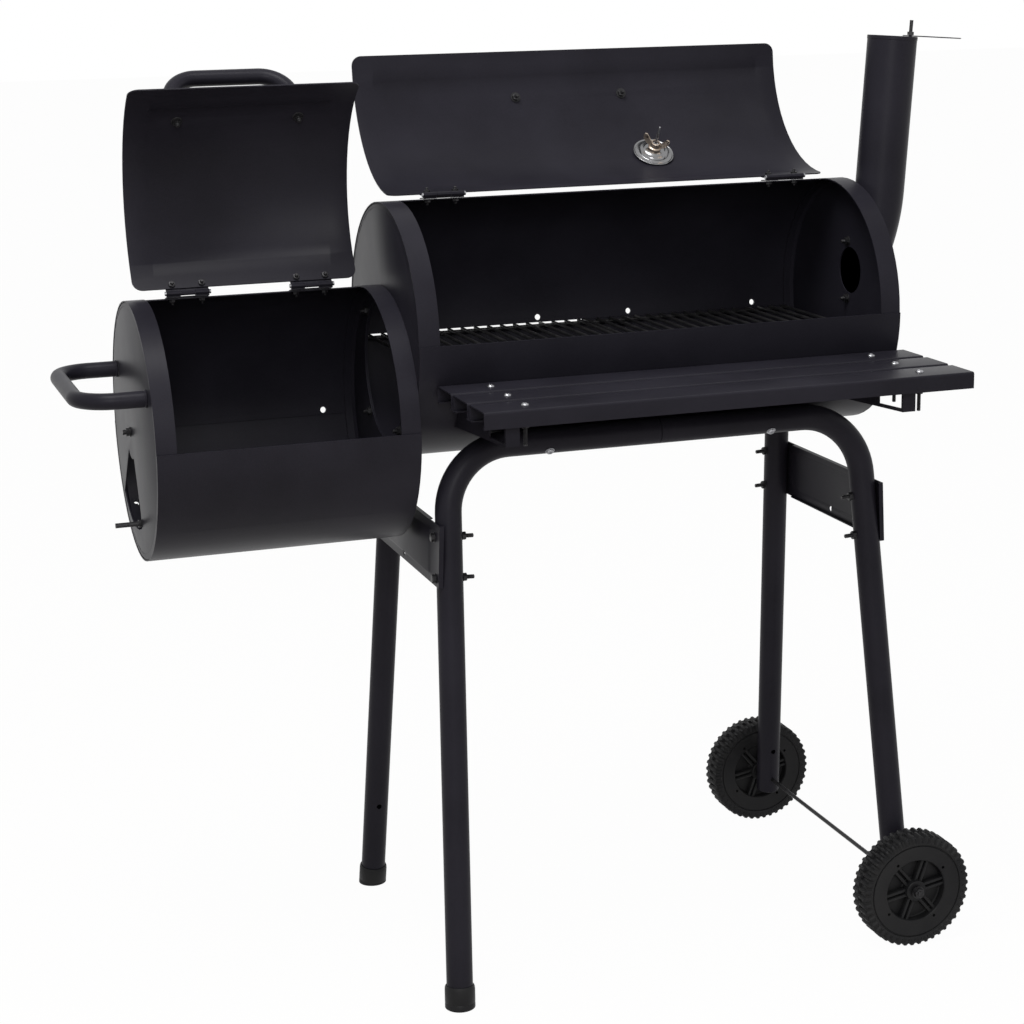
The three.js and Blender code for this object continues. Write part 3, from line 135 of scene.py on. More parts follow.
class Material:
    """A node material built around one Principled shader."""

    def __init__(self, name):
        self.material = bpy.data.materials.new(name)
        self.material.use_nodes = True
        self.tree = self.material.node_tree
        self.tree.nodes.clear()
        self.output = self.add("ShaderNodeOutputMaterial")
        self.shader = self.add("ShaderNodeBsdfPrincipled")
        self.join(self.shader.outputs["BSDF"], self.output.inputs["Surface"])
        self.place = self.add("ShaderNodeTexCoord").outputs["Object"]

    def add(self, kind, **settings):
        made = self.tree.nodes.new(kind)
        for key, value in settings.items():
            setattr(made, key, value)
        return made

    def join(self, source, target):
        self.tree.links.new(source, target)

    def set(self, **values):
        for key, value in values.items():
            self.shader.inputs[key.replace("_", " ")].default_value = value

    def noise(self, scale, detail=2.0):
        made = self.add("ShaderNodeTexNoise")
        made.inputs["Scale"].default_value = scale
        made.inputs["Detail"].default_value = detail
        self.join(self.place, made.inputs["Vector"])
        return made.outputs["Fac"]

    def cells(self, scale):
        made = self.add("ShaderNodeTexVoronoi", feature="SMOOTH_F1")
        made.inputs["Scale"].default_value = scale
        self.join(self.place, made.inputs["Vector"])
        return made.outputs["Distance"]

    def spread(self, value, low, high):
        """Maps the middle of a noise's run to a range of numbers."""
        made = self.add("ShaderNodeMapRange")
        made.inputs["From Min"].default_value = 0.3
        made.inputs["From Max"].default_value = 0.7
        made.inputs["To Min"].default_value = low
        made.inputs["To Max"].default_value = high
        self.join(value, made.inputs["Value"])
        return made.outputs["Result"]

    def tint(self, value, dark, light, from_low=0.3, from_high=0.7):
        """Maps a texture value to a run between two colours."""
        ramp = self.add("ShaderNodeValToRGB")
        ramp.color_ramp.elements[0].position = from_low
        ramp.color_ramp.elements[0].color = (*dark, 1)
        ramp.color_ramp.elements[1].position = from_high
        ramp.color_ramp.elements[1].color = (*light, 1)
        self.join(value, ramp.inputs["Fac"])
        return ramp.outputs["Color"]

    def summed(self, first, second):
        made = self.add("ShaderNodeMath", operation="ADD")
        self.join(first, made.inputs[0])
        self.join(second, made.inputs[1])
        return made.outputs[0]

    def bump(self, height, depth, strength, under=None):
        made = self.add("ShaderNodeBump")
        made.inputs["Strength"].default_value = strength
        made.inputs["Distance"].default_value = depth
        self.join(height, made.inputs["Height"])
        if under:
            self.join(under, made.inputs["Normal"])
        return made.outputs["Normal"]

    def colour(self, socket):
        self.join(socket, self.shader.inputs["Base Color"])

    def roughness(self, socket):
        self.join(socket, self.shader.inputs["Roughness"])

    def normal(self, socket):
        self.join(socket, self.shader.inputs["Normal"])


def satin_black():
    """Baked heat-proof paint on steel: a fine dry grain, faint clouds of sheen and slow waves."""
    m = Material("satin_black")
    clouds = m.noise(9, detail=4)
    grain = m.noise(1500, detail=1)
    m.set(Specular_IOR_Level=0.08)
    m.colour(m.tint(m.summed(m.spread(clouds, 0.0, 0.5), m.spread(grain, 0.0, 0.5)),
                    (0.0108, 0.0101, 0.0140), (0.0178, 0.0168, 0.0230), 0.2, 0.8))
    m.roughness(m.spread(clouds, 0.35, 0.43))
    waves = m.bump(m.noise(14, detail=1), 0.0006, 0.3)
    m.normal(m.bump(grain, 0.00006, 0.35, under=waves))
    return m.material


def enamelled_wire():
    """Black enamel, uneven where it ran round the bars."""
    m = Material("enamelled_wire")
    clouds = m.noise(60, detail=3)
    m.colour(m.tint(clouds, (0.010, 0.010, 0.011), (0.022, 0.021, 0.022)))
    m.roughness(m.spread(clouds, 0.28, 0.45))
    m.normal(m.bump(m.noise(700), 0.00008, 0.5))
    return m.material


def blackened_steel():
    """The dark finish of the bolts and nuts."""
    m = Material("blackened_steel")
    clouds = m.noise(220, detail=3)
    m.set(Metallic=0.4, Specular_IOR_Level=0.3)
    m.colour(m.tint(clouds, (0.012, 0.012, 0.0135), (0.028, 0.027, 0.029)))
    m.roughness(m.spread(clouds, 0.32, 0.5))
    m.normal(m.bump(m.noise(1800), 0.00005, 0.4))
    return m.material


def zinc_plate(name, dark, light, roughness):
    """Plated steel with a faint spangle."""
    m = Material(name)
    spangle = m.cells(420)
    m.set(Metallic=1.0)
    m.colour(m.tint(spangle, dark, light, 0.1, 0.8))
    m.roughness(m.spread(m.noise(300, detail=3), roughness - 0.07, roughness + 0.07))
    m.normal(m.bump(m.noise(900), 0.00004, 0.3))
    return m.material


def polished_plate():
    """Bright pressed steel with a fine brushed grain."""
    m = Material("polished_plate")
    brushed = m.noise(2600, detail=2)
    m.set(Metallic=1.0)
    m.colour(m.tint(brushed, (0.20, 0.20, 0.205), (0.26, 0.26, 0.265)))
    m.roughness(m.spread(brushed, 0.20, 0.27))
    m.normal(m.bump(brushed, 0.00001, 0.12))
    return m.material


def aged_brass():
    """Brass that heat and air have dulled in patches."""
    m = Material("aged_brass")
    clouds = m.noise(260, detail=3)
    m.set(Metallic=1.0)
    m.colour(m.tint(clouds, (0.30, 0.24, 0.19), (0.46, 0.39, 0.33)))
    m.roughness(m.spread(clouds, 0.26, 0.42))
    m.normal(m.bump(m.noise(1200), 0.00004, 0.4))
    return m.material


def dial_face():
    """White printed card."""
    m = Material("dial_face")
    fibres = m.noise(900, detail=2)
    m.colour(m.tint(fibres, (0.74, 0.74, 0.72), (0.82, 0.82, 0.80)))
    m.roughness(m.spread(fibres, 0.42, 0.55))
    m.normal(m.bump(fibres, 0.00001, 0.2))
    return m.material


def moulded_plastic():
    """Black plastic with a pitted skin."""
    m = Material("moulded_plastic")
    clouds = m.noise(30, detail=3)
    pits = m.noise(1300, detail=2)
    m.set(Specular_IOR_Level=0.14)
    m.colour(m.tint(clouds, (0.008, 0.008, 0.009), (0.014, 0.014, 0.0145)))
    m.roughness(m.spread(clouds, 0.42, 0.56))
    m.normal(m.bump(pits, 0.00008, 0.45))
    return m.material


MATERIALS = {
    "black_steel": satin_black(),
    "grate_wire": enamelled_wire(),
    "dark_bolt": blackened_steel(),
    "bright_steel": zinc_plate("zinc_plate", (0.24, 0.24, 0.25), (0.38, 0.38, 0.40), 0.32),
    "chrome": polished_plate(),
    "brass": aged_brass(),
    "dial": dial_face(),
    "black_plastic": moulded_plastic(),
}


# ---------------------------------------------------------------- the frame's own pieces

def smoothing_group():
    """Geometry nodes that weld a faceted mesh and shade it smooth except at its corners."""
    group = bpy.data.node_groups.new("weld_and_smooth", "GeometryNodeTree")
    group.interface.new_socket("Geometry", in_out="INPUT", socket_type="NodeSocketGeometry")
    group.interface.new_socket("Geometry", in_out="OUTPUT", socket_type="NodeSocketGeometry")
    nodes, links = group.nodes, group.links
    source = nodes.new("NodeGroupInput")
    weld = nodes.new("GeometryNodeMergeByDistance")
    weld.inputs["Distance"].default_value = MERGE_DISTANCE
    smooth = nodes.new("GeometryNodeSetShadeSmooth")
    corners = nodes.new("GeometryNodeSetShadeSmooth")
    corners.domain = "EDGE"
    corners.inputs["Shade Smooth"].default_value = False
    angle = nodes.new("GeometryNodeInputMeshEdgeAngle")
    sharper = nodes.new("FunctionNodeCompare")
    sharper.data_type = "FLOAT"
    sharper.operation = "GREATER_THAN"
    sharper.inputs[1].default_value = SMOOTH_ANGLE
    result = nodes.new("NodeGroupOutput")
    links.new(source.outputs[0], weld.inputs["Geometry"])
    links.new(weld.outputs["Geometry"], smooth.inputs["Geometry"])
    links.new(smooth.outputs["Geometry"], corners.inputs["Geometry"])
    links.new(angle.outputs["Unsigned Angle"], sharper.inputs[0])
    links.new(sharper.outputs["Result"], corners.inputs["Selection"])
    links.new(corners.outputs["Geometry"], result.inputs[0])
    return group


SMOOTHING = smoothing_group()


def finished(piece, slot):
    """Gives a piece the finish of its slot, and smooth shading."""
    piece.data.materials.clear()
    piece.data.materials.append(MATERIALS[slot])
    smoothing = piece.modifiers.new("weld_and_smooth", "NODES")
    smoothing.node_group = SMOOTHING


def finish_frame():
    slots = {p["node"]: p["material_slot"] for p in frame["record"]["subparts"]}
    for name, piece in frame["nodes"].items():
        finished(piece, slots[name])


# ---------------------------------------------------------------- shapes

def placed(name, data):
    """A new object in the scene with this mesh, camera or lamp."""
    thing = bpy.data.objects.new(name, data)
    bpy.context.scene.collection.objects.link(thing)
    return thing


def bent(corners, bend, steps):
    """(point, direction) pairs along straight runs joined by round bends."""
    line = [(corners[0], (corners[1] - corners[0]).normalized())]
    for before, corner, after in zip(corners, corners[1:], corners[2:]):
        incoming = (corner - before).normalized()
        outgoing = (after - corner).normalized()
        turn = incoming.angle(outgoing)
        start = corner - incoming * bend * math.tan(turn / 2)
        inward = (outgoing - incoming * math.cos(turn)).normalized()
        for i in range(steps + 1):
            angle = turn * i / steps
            point = start + incoming * bend * math.sin(angle) + inward * bend * (1 - math.cos(angle))
            line.append((point, incoming * math.cos(angle) + inward * math.sin(angle)))
    line.append((corners[-1], (corners[-1] - corners[-2]).normalized()))
    return line


class Shape:
    """A mesh put together from turned and swept bodies. Profiles are in millimetres."""

    def __init__(self):
        self.mesh = bmesh.new()

    def bridge(self, first, second):
        """Faces between two rings, either of which may be a single point."""
        count = max(len(first), len(second))
        for i in range(count):
            j = (i + 1) % count
            corners = [first[i % len(first)], first[j % len(first)],
                       second[j % len(second)], second[i % len(second)]]
            self.mesh.faces.new(list(dict.fromkeys(corners)))

    def turned(self, profile, place, sides, closed=False):
        """Turns (radius, height) pairs about the Z axis of place. A profile may be a function of the
        angle, for bodies that aren't round."""
        profile_at = profile if callable(profile) else lambda angle: profile
        columns = [profile_at(2 * math.pi * i / sides) for i in range(sides)]
        rings = []
        for row in range(len(columns[0])):
            if columns[0][row][0] == 0:
                rings.append([self.mesh.verts.new(place @ Vector((0, 0, columns[0][row][1] * MM)))])
                continue
            ring = []
            for i, column in enumerate(columns):
                angle = 2 * math.pi * i / sides
                radius, height = column[row]
                point = Vector((radius * math.cos(angle), radius * math.sin(angle), height)) * MM
                ring.append(self.mesh.verts.new(place @ point))
            rings.append(ring)
        for first, second in zip(rings, rings[1:]):
            self.bridge(first, second)
        if closed:
            self.bridge(rings[-1], rings[0])
        return self

    def rings(self, line, radii, sides):
        """Circles across a line, kept from twisting. radii holds one radius for each point."""
        tangent = line[0][1]
        side = tangent.orthogonal().normalized()
        made = []
        for (point, direction), radius in zip(line, radii):
            side = (tangent.rotation_difference(direction) @ side).normalized()
            tangent = direction
            across = tangent.cross(side)
            made.append([self.mesh.verts.new(
                point + (side * math.cos(2 * math.pi * i / sides)
                         + across * math.sin(2 * math.pi * i / sides)) * radius * MM)
                for i in range(sides)])
        return made

    def skin(self, rings):
        """Faces from each ring to the next."""
        for first, second in zip(rings, rings[1:]):
            self.bridge(first, second)

    def rod(self, line, radius, sides):
        """A round bar with flat ends."""
        rings = self.rings(line, [radius] * len(line), sides)
        self.skin(rings)
        self.mesh.faces.new(rings[0])
        self.mesh.faces.new(rings[-1])

    def pipe(self, line, radius, wall, sides, edge):
        """A tube whose cut ends have their corners broken by edge."""
        first, last = line[0], line[-1]
        broken = ([first, (first[0] + first[1] * edge * MM, first[1])] + line[1:-1]
                  + [(last[0] - last[1] * edge * MM, last[1]), last])
        radii = [radius - edge] + [radius] * (len(broken) - 2) + [radius - edge]
        outer = self.rings(broken, radii, sides)
        inner = self.rings(line, [radius - wall] * len(line), sides)
        self.skin(outer)
        self.skin(inner)
        self.bridge(outer[0], inner[0])
        self.bridge(outer[-1], inner[-1])
        return self

    def prism(self, outline, start, end):
        """Runs a closed outline, a list of vectors, from one offset to another."""
        near = [self.mesh.verts.new(point + start) for point in outline]
        far = [self.mesh.verts.new(point + end) for point in outline]
        self.bridge(near, far)
        self.mesh.faces.new(near)
        self.mesh.faces.new(far)

    def cut_off(self, point, way):
        """Takes away what lies past a plane, and gives the open edges that this leaves."""
        parts = self.mesh.verts[:] + self.mesh.edges[:] + self.mesh.faces[:]
        bmesh.ops.bisect_plane(self.mesh, geom=parts, plane_co=point, plane_no=way, clear_outer=True)
        return [edge for edge in self.mesh.edges if edge.is_boundary]

    def carve(self, cutters):
        """Takes turned cutters, (profile, place) pairs, away from what has been put together."""
        tools = Shape()
        for profile, place in cutters:
            tools.turned(profile, place, 24)
        body = placed("carved", self.grown("carved"))
        tool = placed("cutter", tools.grown("cutter"))
        cutting = body.modifiers.new("cut", "BOOLEAN")
        cutting.operation = "DIFFERENCE"
        cutting.solver = "EXACT"
        cutting.object = tool
        bpy.context.view_layer.update()
        self.mesh = bmesh.new()
        self.mesh.from_object(body, bpy.context.evaluated_depsgraph_get())
        bpy.data.objects.remove(body)
        bpy.data.objects.remove(tool)

    def grown(self, name):
        """The finished mesh, its faces turned outwards."""
        bmesh.ops.recalc_face_normals(self.mesh, faces=self.mesh.faces)
        data = bpy.data.meshes.new(name)
        self.mesh.to_mesh(data)
        self.mesh.free()
        return data


def hexagon(half, angle):
    """Distance from the middle of a hexagon to its side. half is half its width across flats."""
    return half / math.cos((angle + math.pi / 6) % (math.pi / 3) - math.pi / 6)


def nut(shape, place, flats, height, bore=0.0):
    """A hexagon nut on Z = 0, or a bolt head where it has no bore. Its corners are chamfered."""
    half = flats / 2

    def profile(angle):
        corner = hexagon(half, angle)
        fall = (corner - half) * 0.6
        body = [(half * 0.97, 0), (corner, fall), (corner, height - fall), (half * 0.97, height)]
        if bore:
            return [(bore, 0.5), (bore + 0.4, 0)] + body + [(bore + 0.4, height), (bore, height - 0.5)]
        return [(0, 0)] + body + [(half * 0.7, height + 0.2), (0, height + 0.2)]

    shape.turned(profile, place, 24, closed=bool(bore))


def washer(shape, place, radius, thickness, bore):
    """A flat washer on Z = 0 of place, its outer corners rounded."""
    edge = min(0.3, thickness / 3)
    shape.turned([(bore, 0), (radius - edge, 0), (radius, edge), (radius, thickness - edge),
                  (radius - edge, thickness), (bore, thickness)], place, 28, closed=True)


def thread(shape, place, radius, start, end, pitch):
    """A threaded end, its crests a pitch apart."""
    profile = [(0, start)]
    turns = int((end - start - pitch) / pitch)
    for i in range(turns):
        profile += [(radius, start + pitch * (i + 0.25)),
                    (radius - 0.35 * pitch, start + pitch * (i + 0.75))]
    profile += [(radius, end - pitch * 0.9), (radius - 0.6, end), (0, end)]
    shape.turned(profile, place, 14)


def pan_head(shape, place, radius, height):
    """A low domed screw head with a cross recess."""

    def profile(angle):
        points = []
        for share in (0, 0.1, 0.2, 0.3, 0.4, 0.5, 0.58, 0.7, 0.82, 0.92, 0.98, 1):
            reach = radius * share
            rise = height * (1 - 0.3 * share ** 2 - 0.45 * max(0, (share - 0.7) / 0.3) ** 2)
            narrow = reach * min(abs(math.cos(angle)), abs(math.sin(angle)))
            if share < 0.55 and narrow < radius * 0.12:
                rise -= height * 0.45
            points.append((reach, rise))
        return points + [(radius, 0)]

    shape.turned(profile, place, 32)


def bolt_end(shape, place, radius, thickness, length, turn=0.0):
    """A washer of a radius and a thickness on Z = 0 of place, a nut on it and the end of its bolt."""
    washer(shape, place, radius, thickness, 0.1)
    on_washer = Matrix.Translation(UP * (thickness - SUNK) * MM)
    nut(shape, place @ on_washer @ Matrix.Rotation(math.radians(turn), 4, "Z"), 8.5, 3.8, 2.0)
    thread(shape, place, 2.4, 1, length, 0.9)


def drill(radius, place, direction, depth):
    """A cutter for a round hole, for Shape.carve."""
    return [(0, 0), (radius, 0), (radius, depth), (0, depth)], facing(place, direction)


def made(name, shape, slot, body, stands_for=()):
    """Turns a shape into a piece of the smoker, with its finish and the body that it moves with."""
    piece = placed(name, shape.grown(name))
    finished(piece, slot)
    if stands_for:
        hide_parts(*stands_for)
    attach(piece, body)


# ---------------------------------------------------------------- stand

LEG = 15.8               # radius of the frame tubes
LEG_BEND = 78
HALF_WIDTH = 293         # of the stand at the ground, along the barrels
LEAN_IN = 29             # of a leg, from the ground up to the top tubes
HALF_DEPTH = 200         # of the stand at the ground, front to back
FRAME_MIDDLE = 3         # of the stand, right of the middle of the chamber
TOP_TUBE_RADIUS = 168    # from the axis of the chamber


def top_tube(angle):
    """How far to the side of the chamber's axis and above the ground a top tube rests."""
    turned = math.radians(angle)
    return TOP_TUBE_RADIUS * math.cos(turned), CHAMBER.z / MM - TOP_TUBE_RADIUS * math.sin(turned)


TOP_TUBE = {-1: top_tube(49.5), 1: top_tube(47)}


def leg_point(side_x, side_y, height):
    """Centre of a leg at a height. side_x is -1 for left, side_y is -1 for front."""
    top_y, top_z = TOP_TUBE[side_y]
    across = HALF_WIDTH - LEAN_IN * height / TOP_TUBE[-1][1]
    back = HALF_DEPTH - (HALF_DEPTH - top_y) * height / top_z
    return at(FRAME_MIDDLE + side_x * across, side_y * back, height)


def leg_tubes():
    """The four halves of the leg frames, as drawn tube with true bends and an open joint in the
    middle of each top tube. The left legs stand in their cups and the right ones end at the axle."""
    axle = middle("axle")
    for side_y, place in ((-1, "front"), (1, "back")):
        top_y, top_z = TOP_TUBE[side_y]
        for side_x, hand in ((-1, "left"), (1, "right")):
            start = 7.3 if side_x < 0 else axle.z / MM - 18
            joint = at(FRAME_MIDDLE + (-TOUCH if side_x < 0 else 0), side_y * top_y, top_z)
            line = bent([leg_point(side_x, side_y, start), leg_point(side_x, side_y, top_z), joint],
                        LEG_BEND * MM, 18)
            shape = Shape().pipe(line, LEG, SHEET, 48, 0.7)
            holes = []
            if side_x > 0:      # for the axle
                holes.append(drill(3.05, axle - BACK * 350 * MM, BACK, 700))
            if side_y > 0:      # a spare hole low in the front of each back leg
                holes.append(drill(3.4, leg_point(side_x, side_y, 117), -BACK, 30))
            if holes:
                shape.carve(holes)
            if side_x < 0:
                spigot = [(joint - ALONG * 12 * MM, ALONG), (joint + ALONG * 30 * MM, ALONG)]
                shape.pipe(spigot, 13.2, 1.4, 40, 0.4)
            made(f"{place}_leg_tube_{hand}", shape, "black_steel", "stand",
                 [f"{place}_leg_frame_{hand}"])


def bracket_bolts():
    """Two bolts through each leg hold the end brackets: a hexagon head outside, a nut and the end of
    the thread on the inner side."""
    bracket_face = LEG + TOUCH + SHEET + CLEAR
    inner_side = LEG - 0.6
    shape = Shape()
    for side_x in (-1, 1):
        for side_y in (-1, 1):
            lift = 8 if side_x > 0 and side_y > 0 else 0      # the back right leg's are a little higher
            for height in (508 + lift, 556 + lift):
                centre = leg_point(side_x, side_y, height)
                out = Vector((side_x, 0, LEAN_IN / TOP_TUBE[-1][1])).normalized()
                washer(shape, facing(centre + out * bracket_face * MM, out), 6, 0.9, 0.1)
                nut(shape, facing(centre + out * (bracket_face + 0.85) * MM, out, 17), 9, 3.6)
                inner = facing(centre - out * inner_side * MM, -out, 8)
                washer(shape, inner, 5.6, 0.9, 0.1)
                nut(shape, facing(centre - out * (inner_side + 0.8) * MM, -out, 8), 9, 4.2, 2.2)
                thread(shape, inner, 2.6, 2, 14.5, 0.9)
    made("bracket_bolts", shape, "dark_bolt", "stand")


def frame_bolts():
    """Domed bolts that hold the top tubes up against the chamber."""
    shape = Shape()
    for side_y in (-1, 1):
        top_y, top_z = TOP_TUBE[side_y]
        for x in (-138, 147):
            down = Vector((0, side_y * 0.72, -0.69)).normalized()
            seat = at(x, side_y * top_y, top_z) + down * (LEG - TOUCH) * MM
            washer(shape, facing(seat, down), 5.6, 0.9, 0.1)
            pan_head(shape, facing(seat + down * 0.8 * MM, down, 20), 4.6, 2.6)
    made("frame_bolts", shape, "bright_steel", "stand")


def foot_caps():
    """Ribbed plastic cups on the two left feet."""
    bore = LEG + TOUCH
    for side_y, place in ((-1, "front"), (1, "back")):
        ground = leg_point(-1, side_y, 0)
        up = (leg_point(-1, side_y, 100) - ground).normalized()
        shape = Shape()
        shape.turned([(0, -20), (18.2, -20), (18.2, 4), (17.7, 5), (18.2, 6), (18.2, 21), (17.9, 24),
                      (17.2, 25.7), (16.3, 26), (bore, 25), (bore, 7), (0, 7)], facing(ground, up), 56)
        bmesh.ops.holes_fill(shape.mesh, edges=shape.cut_off(Vector(), -UP))
        made(f"foot_cup_{place}", shape, "black_plastic", "stand", [f"foot_cap_{place}"])


# ---------------------------------------------------------------- wheels

LUGS = 46
LUG_SHARES = (0.0, 0.08, 0.5, 0.58)      # of a lug's pitch: where its flanks stand in each row


def wheel_profile(angle):
    """Section of a wheel at an angle: a moulded disc with a groove round it, and a tyre whose two
    rows of lugs are half a pitch apart. Lug tops and the ribs on the tyre's sides rise and fall
    together."""
    share = (angle * LUGS / (2 * math.pi)) % 1
    section = []
    for side, high in ((1, 0.05 < share < 0.55), (-1, share < 0.05 or share > 0.55)):
        half = [
            (3.2, 15.6), (3.9, 16.2), (12.4, 16.2), (13.2, 15.4), (14.2, 4.2), (15.2, 3.4), (37.4, 3.4),
            (38.6, 4.4), (39.6, 13.4), (40.6, 14.6), (56.6, 15.0), (57.6, 15.6), (58.6, 15.6),
            (59.2, 14.4), (60.2, 14.4), (60.9, 15.8), (62.4, 16.3),
            (63.2, 17.4 if high else 16.2), (68.2, 17.6 if high else 15.2),
            (70.3, 17.1 if high else 14.6), (71.8 if high else 69.5, 16.0 if high else 13.9),
            (73 if high else 69.6, 14.0 if high else 12.6), (73 if high else 69.6, 1.4), (69.4, 0.6),
        ]
        section.append([(radius, side * height) for radius, height in half])
    return section[0] + section[1][::-1]


def wheel(node, body, name):
    """A wheel with four small holes through its disc and six spokes of two ribs each."""
    centre = middle(node)
    hub = facing(centre, BACK)
    shape = Shape()
    spread = [2 * math.pi * (i + share) / LUGS for i in range(LUGS) for share in LUG_SHARES]

    def profile(angle):
        return wheel_profile(spread[round(angle / (2 * math.pi) * len(spread)) % len(spread)])

    shape.turned(profile, hub, len(spread), closed=True)

    def spoke(turn):
        return Vector((math.cos(math.radians(turn)), 0, math.sin(math.radians(turn))))

    shape.carve([drill(1.9, centre + spoke(turn) * 45 * MM - BACK * 30 * MM, BACK, 60)
                 for turn in (35, 125, 215, 305)])
    for turn in range(10, 370, 60):
        out = spoke(turn)
        across = Vector((-out.z, 0, out.x))
        for shift in (-3.4, 3.4):
            rib = [(-2.3, 3), (-2.3, 9.4), (-1.6, 11.2), (0, 11.9), (1.6, 11.2), (2.3, 9.4), (2.3, 3)]
            rib += [(u, -v) for u, v in reversed(rib)]
            outline = [centre + across * (shift + u) * MM + BACK * v * MM for u, v in rib]
            shape.prism(outline, out * 11 * MM, out * 39.4 * MM)
    made(name, shape, "black_plastic", body, [node])


def axle_ends():
    """Hexagon nuts on the ends of the axle, and the threads that stand out of them."""
    axle = middle("axle")
    shape = Shape()
    for end, node in ((-1, "front"), (1, "back")):
        nut_low, nut_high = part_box(f"{node}_axle_nut")
        face = nut_low.y if end < 0 else nut_high.y
        out = BACK * end
        thread(shape, facing(Vector((axle.x, face, axle.z)), out), 2.95, -0.5, 1.9, 0.8)
        nut(shape, facing(Vector((axle.x, face - end * 4.7 * MM, axle.z)), out, 12), 11, 4.9, 2.6)
    made("axle_lock_nuts", shape, "dark_bolt", "stand")


# ---------------------------------------------------------------- handles

HANDLE_TUBE = 9.4        # radius


def handle(shape, place, span, reach, bend):
    """A U of round tube on two flanged feet, on the plane Z = 0 of place, its grip along X."""
    half = span / 2
    corners = [place @ (Vector(corner) * MM) for corner in
               ((-half, 0, 1.2), (-half, 0, reach), (half, 0, reach), (half, 0, 1.2))]
    shape.rod(bent(corners, bend * MM, 16), HANDLE_TUBE, 40)
    for side in (-1, 1):
        foot = place @ Matrix.Translation((side * half * MM, 0, 0))
        shape.turned([(0, TOUCH), (9.6, TOUCH), (10.2, 0.8), (10.2, 2.0), (9.7, 2.5), (9.2, 2.6),
                      (0, 2.6)], foot, 40)


def lid_handle(node, name, body, lid, axis, angle, x, reach):
    """A handle on a lid, held by a nut on each foot inside. Angle and x say where its middle is."""
    span = 142
    shape = Shape()
    out = outward(angle)
    place = standing(on_section(axis, x, LID + PRESSED + SHEET, angle), ALONG, out)
    handle(shape, lid @ place, span, reach, bend=34)
    made(name, shape, "black_steel", body, [node])

    screws = Shape()
    for side in (-1, 1):
        inside = on_section(axis, x + side * span / 2, LID + PRESSED - 0.4, angle)
        bolt_end(screws, lid @ facing(inside, -out, 10), 6.5, 1.0, 9)
    made(f"{name}_nuts", screws, "dark_bolt", body)


def side_handle():
    """The handle across the left end of the firebox, to pull the smoker along by."""
    foot = middle("firebox_side_handle")
    foot.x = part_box("firebox_side_handle")[1].x + TOUCH * MM
    shape = Shape()
    handle(shape, standing(foot, BACK, -ALONG), span=210, reach=74, bend=40)
    made("firebox_end_handle", shape, "black_steel", "stand", ["firebox_side_handle"])


# ---------------------------------------------------------------- seams of the end caps

def end_cap_seams():
    """A bead round each end cap fills the groove between its rounded corner and the shells. The lower
    shell, which laps over the upper one, stands further out."""
    upper, lower = 148.3, 150.2
    for barrel, axis in (("main", CHAMBER), ("firebox", FIREBOX)):
        for hand, side in (("left", -1), ("right", 1)):
            low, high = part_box(f"{barrel}_{hand}_end_cap")
            radius = (high.z - low.z) / 2 / MM
            face = facing(Vector((low.x if side < 0 else high.x, axis.y, axis.z)), ALONG * side)

            def profile(angle):
                out = face.to_3x3() @ Vector((math.cos(angle), math.sin(angle), 0))
                reach = lower if out.z < -0.01 else upper
                return [(radius - 4.2, -0.3), (radius - 3.8, -0.08), (reach - 0.8, -0.5), (reach, -1.2),
                        (reach, -4.3), (radius - 0.8, -4.3), (radius - 2, -2), (radius - 3.9, -0.9)]

            made(f"{barrel}_{hand}_end_cap_seam", Shape().turned(profile, face, 120, closed=True),
                 "black_steel", "stand")


# ---------------------------------------------------------------- chimney

def chimney_line(foot, mouth, reach, lean):
    """From behind the flange the chimney turns up on a tight bend, then on a wide one into its
    straight run. The line of that run passes the height of the foot at reach from it."""
    slant = math.radians(66)             # from upright, at the foot
    middle_slant = math.radians(25)      # between the two bends
    wide = 240                           # radius of the second bend
    past = 20                            # spare tube behind the foot, to be cut off

    def along(angle):
        return Vector((math.sin(angle), 0, math.cos(angle)))

    def drift(start, end):
        """How far a bend of unit radius moves away from the straight run."""
        return math.cos(end) - math.cos(start) - math.tan(lean) * (math.sin(start) - math.sin(end))

    tight = (reach - wide * drift(middle_slant, lean)) / drift(slant, middle_slant)
    line = [(foot - along(slant) * past * MM, along(slant))]
    start = foot
    for radius, first, last in ((tight, slant, middle_slant), (wide, middle_slant, lean)):
        for i in range(13):
            angle = first + (last - first) * i / 12
            line.append((start + Vector((math.cos(angle) - math.cos(first), 0,
                                         math.sin(first) - math.sin(angle))) * radius * MM, along(angle)))
        start = line[-1][0]
        if last != lean:
            line.pop()
    return line + [(mouth, along(lean))]


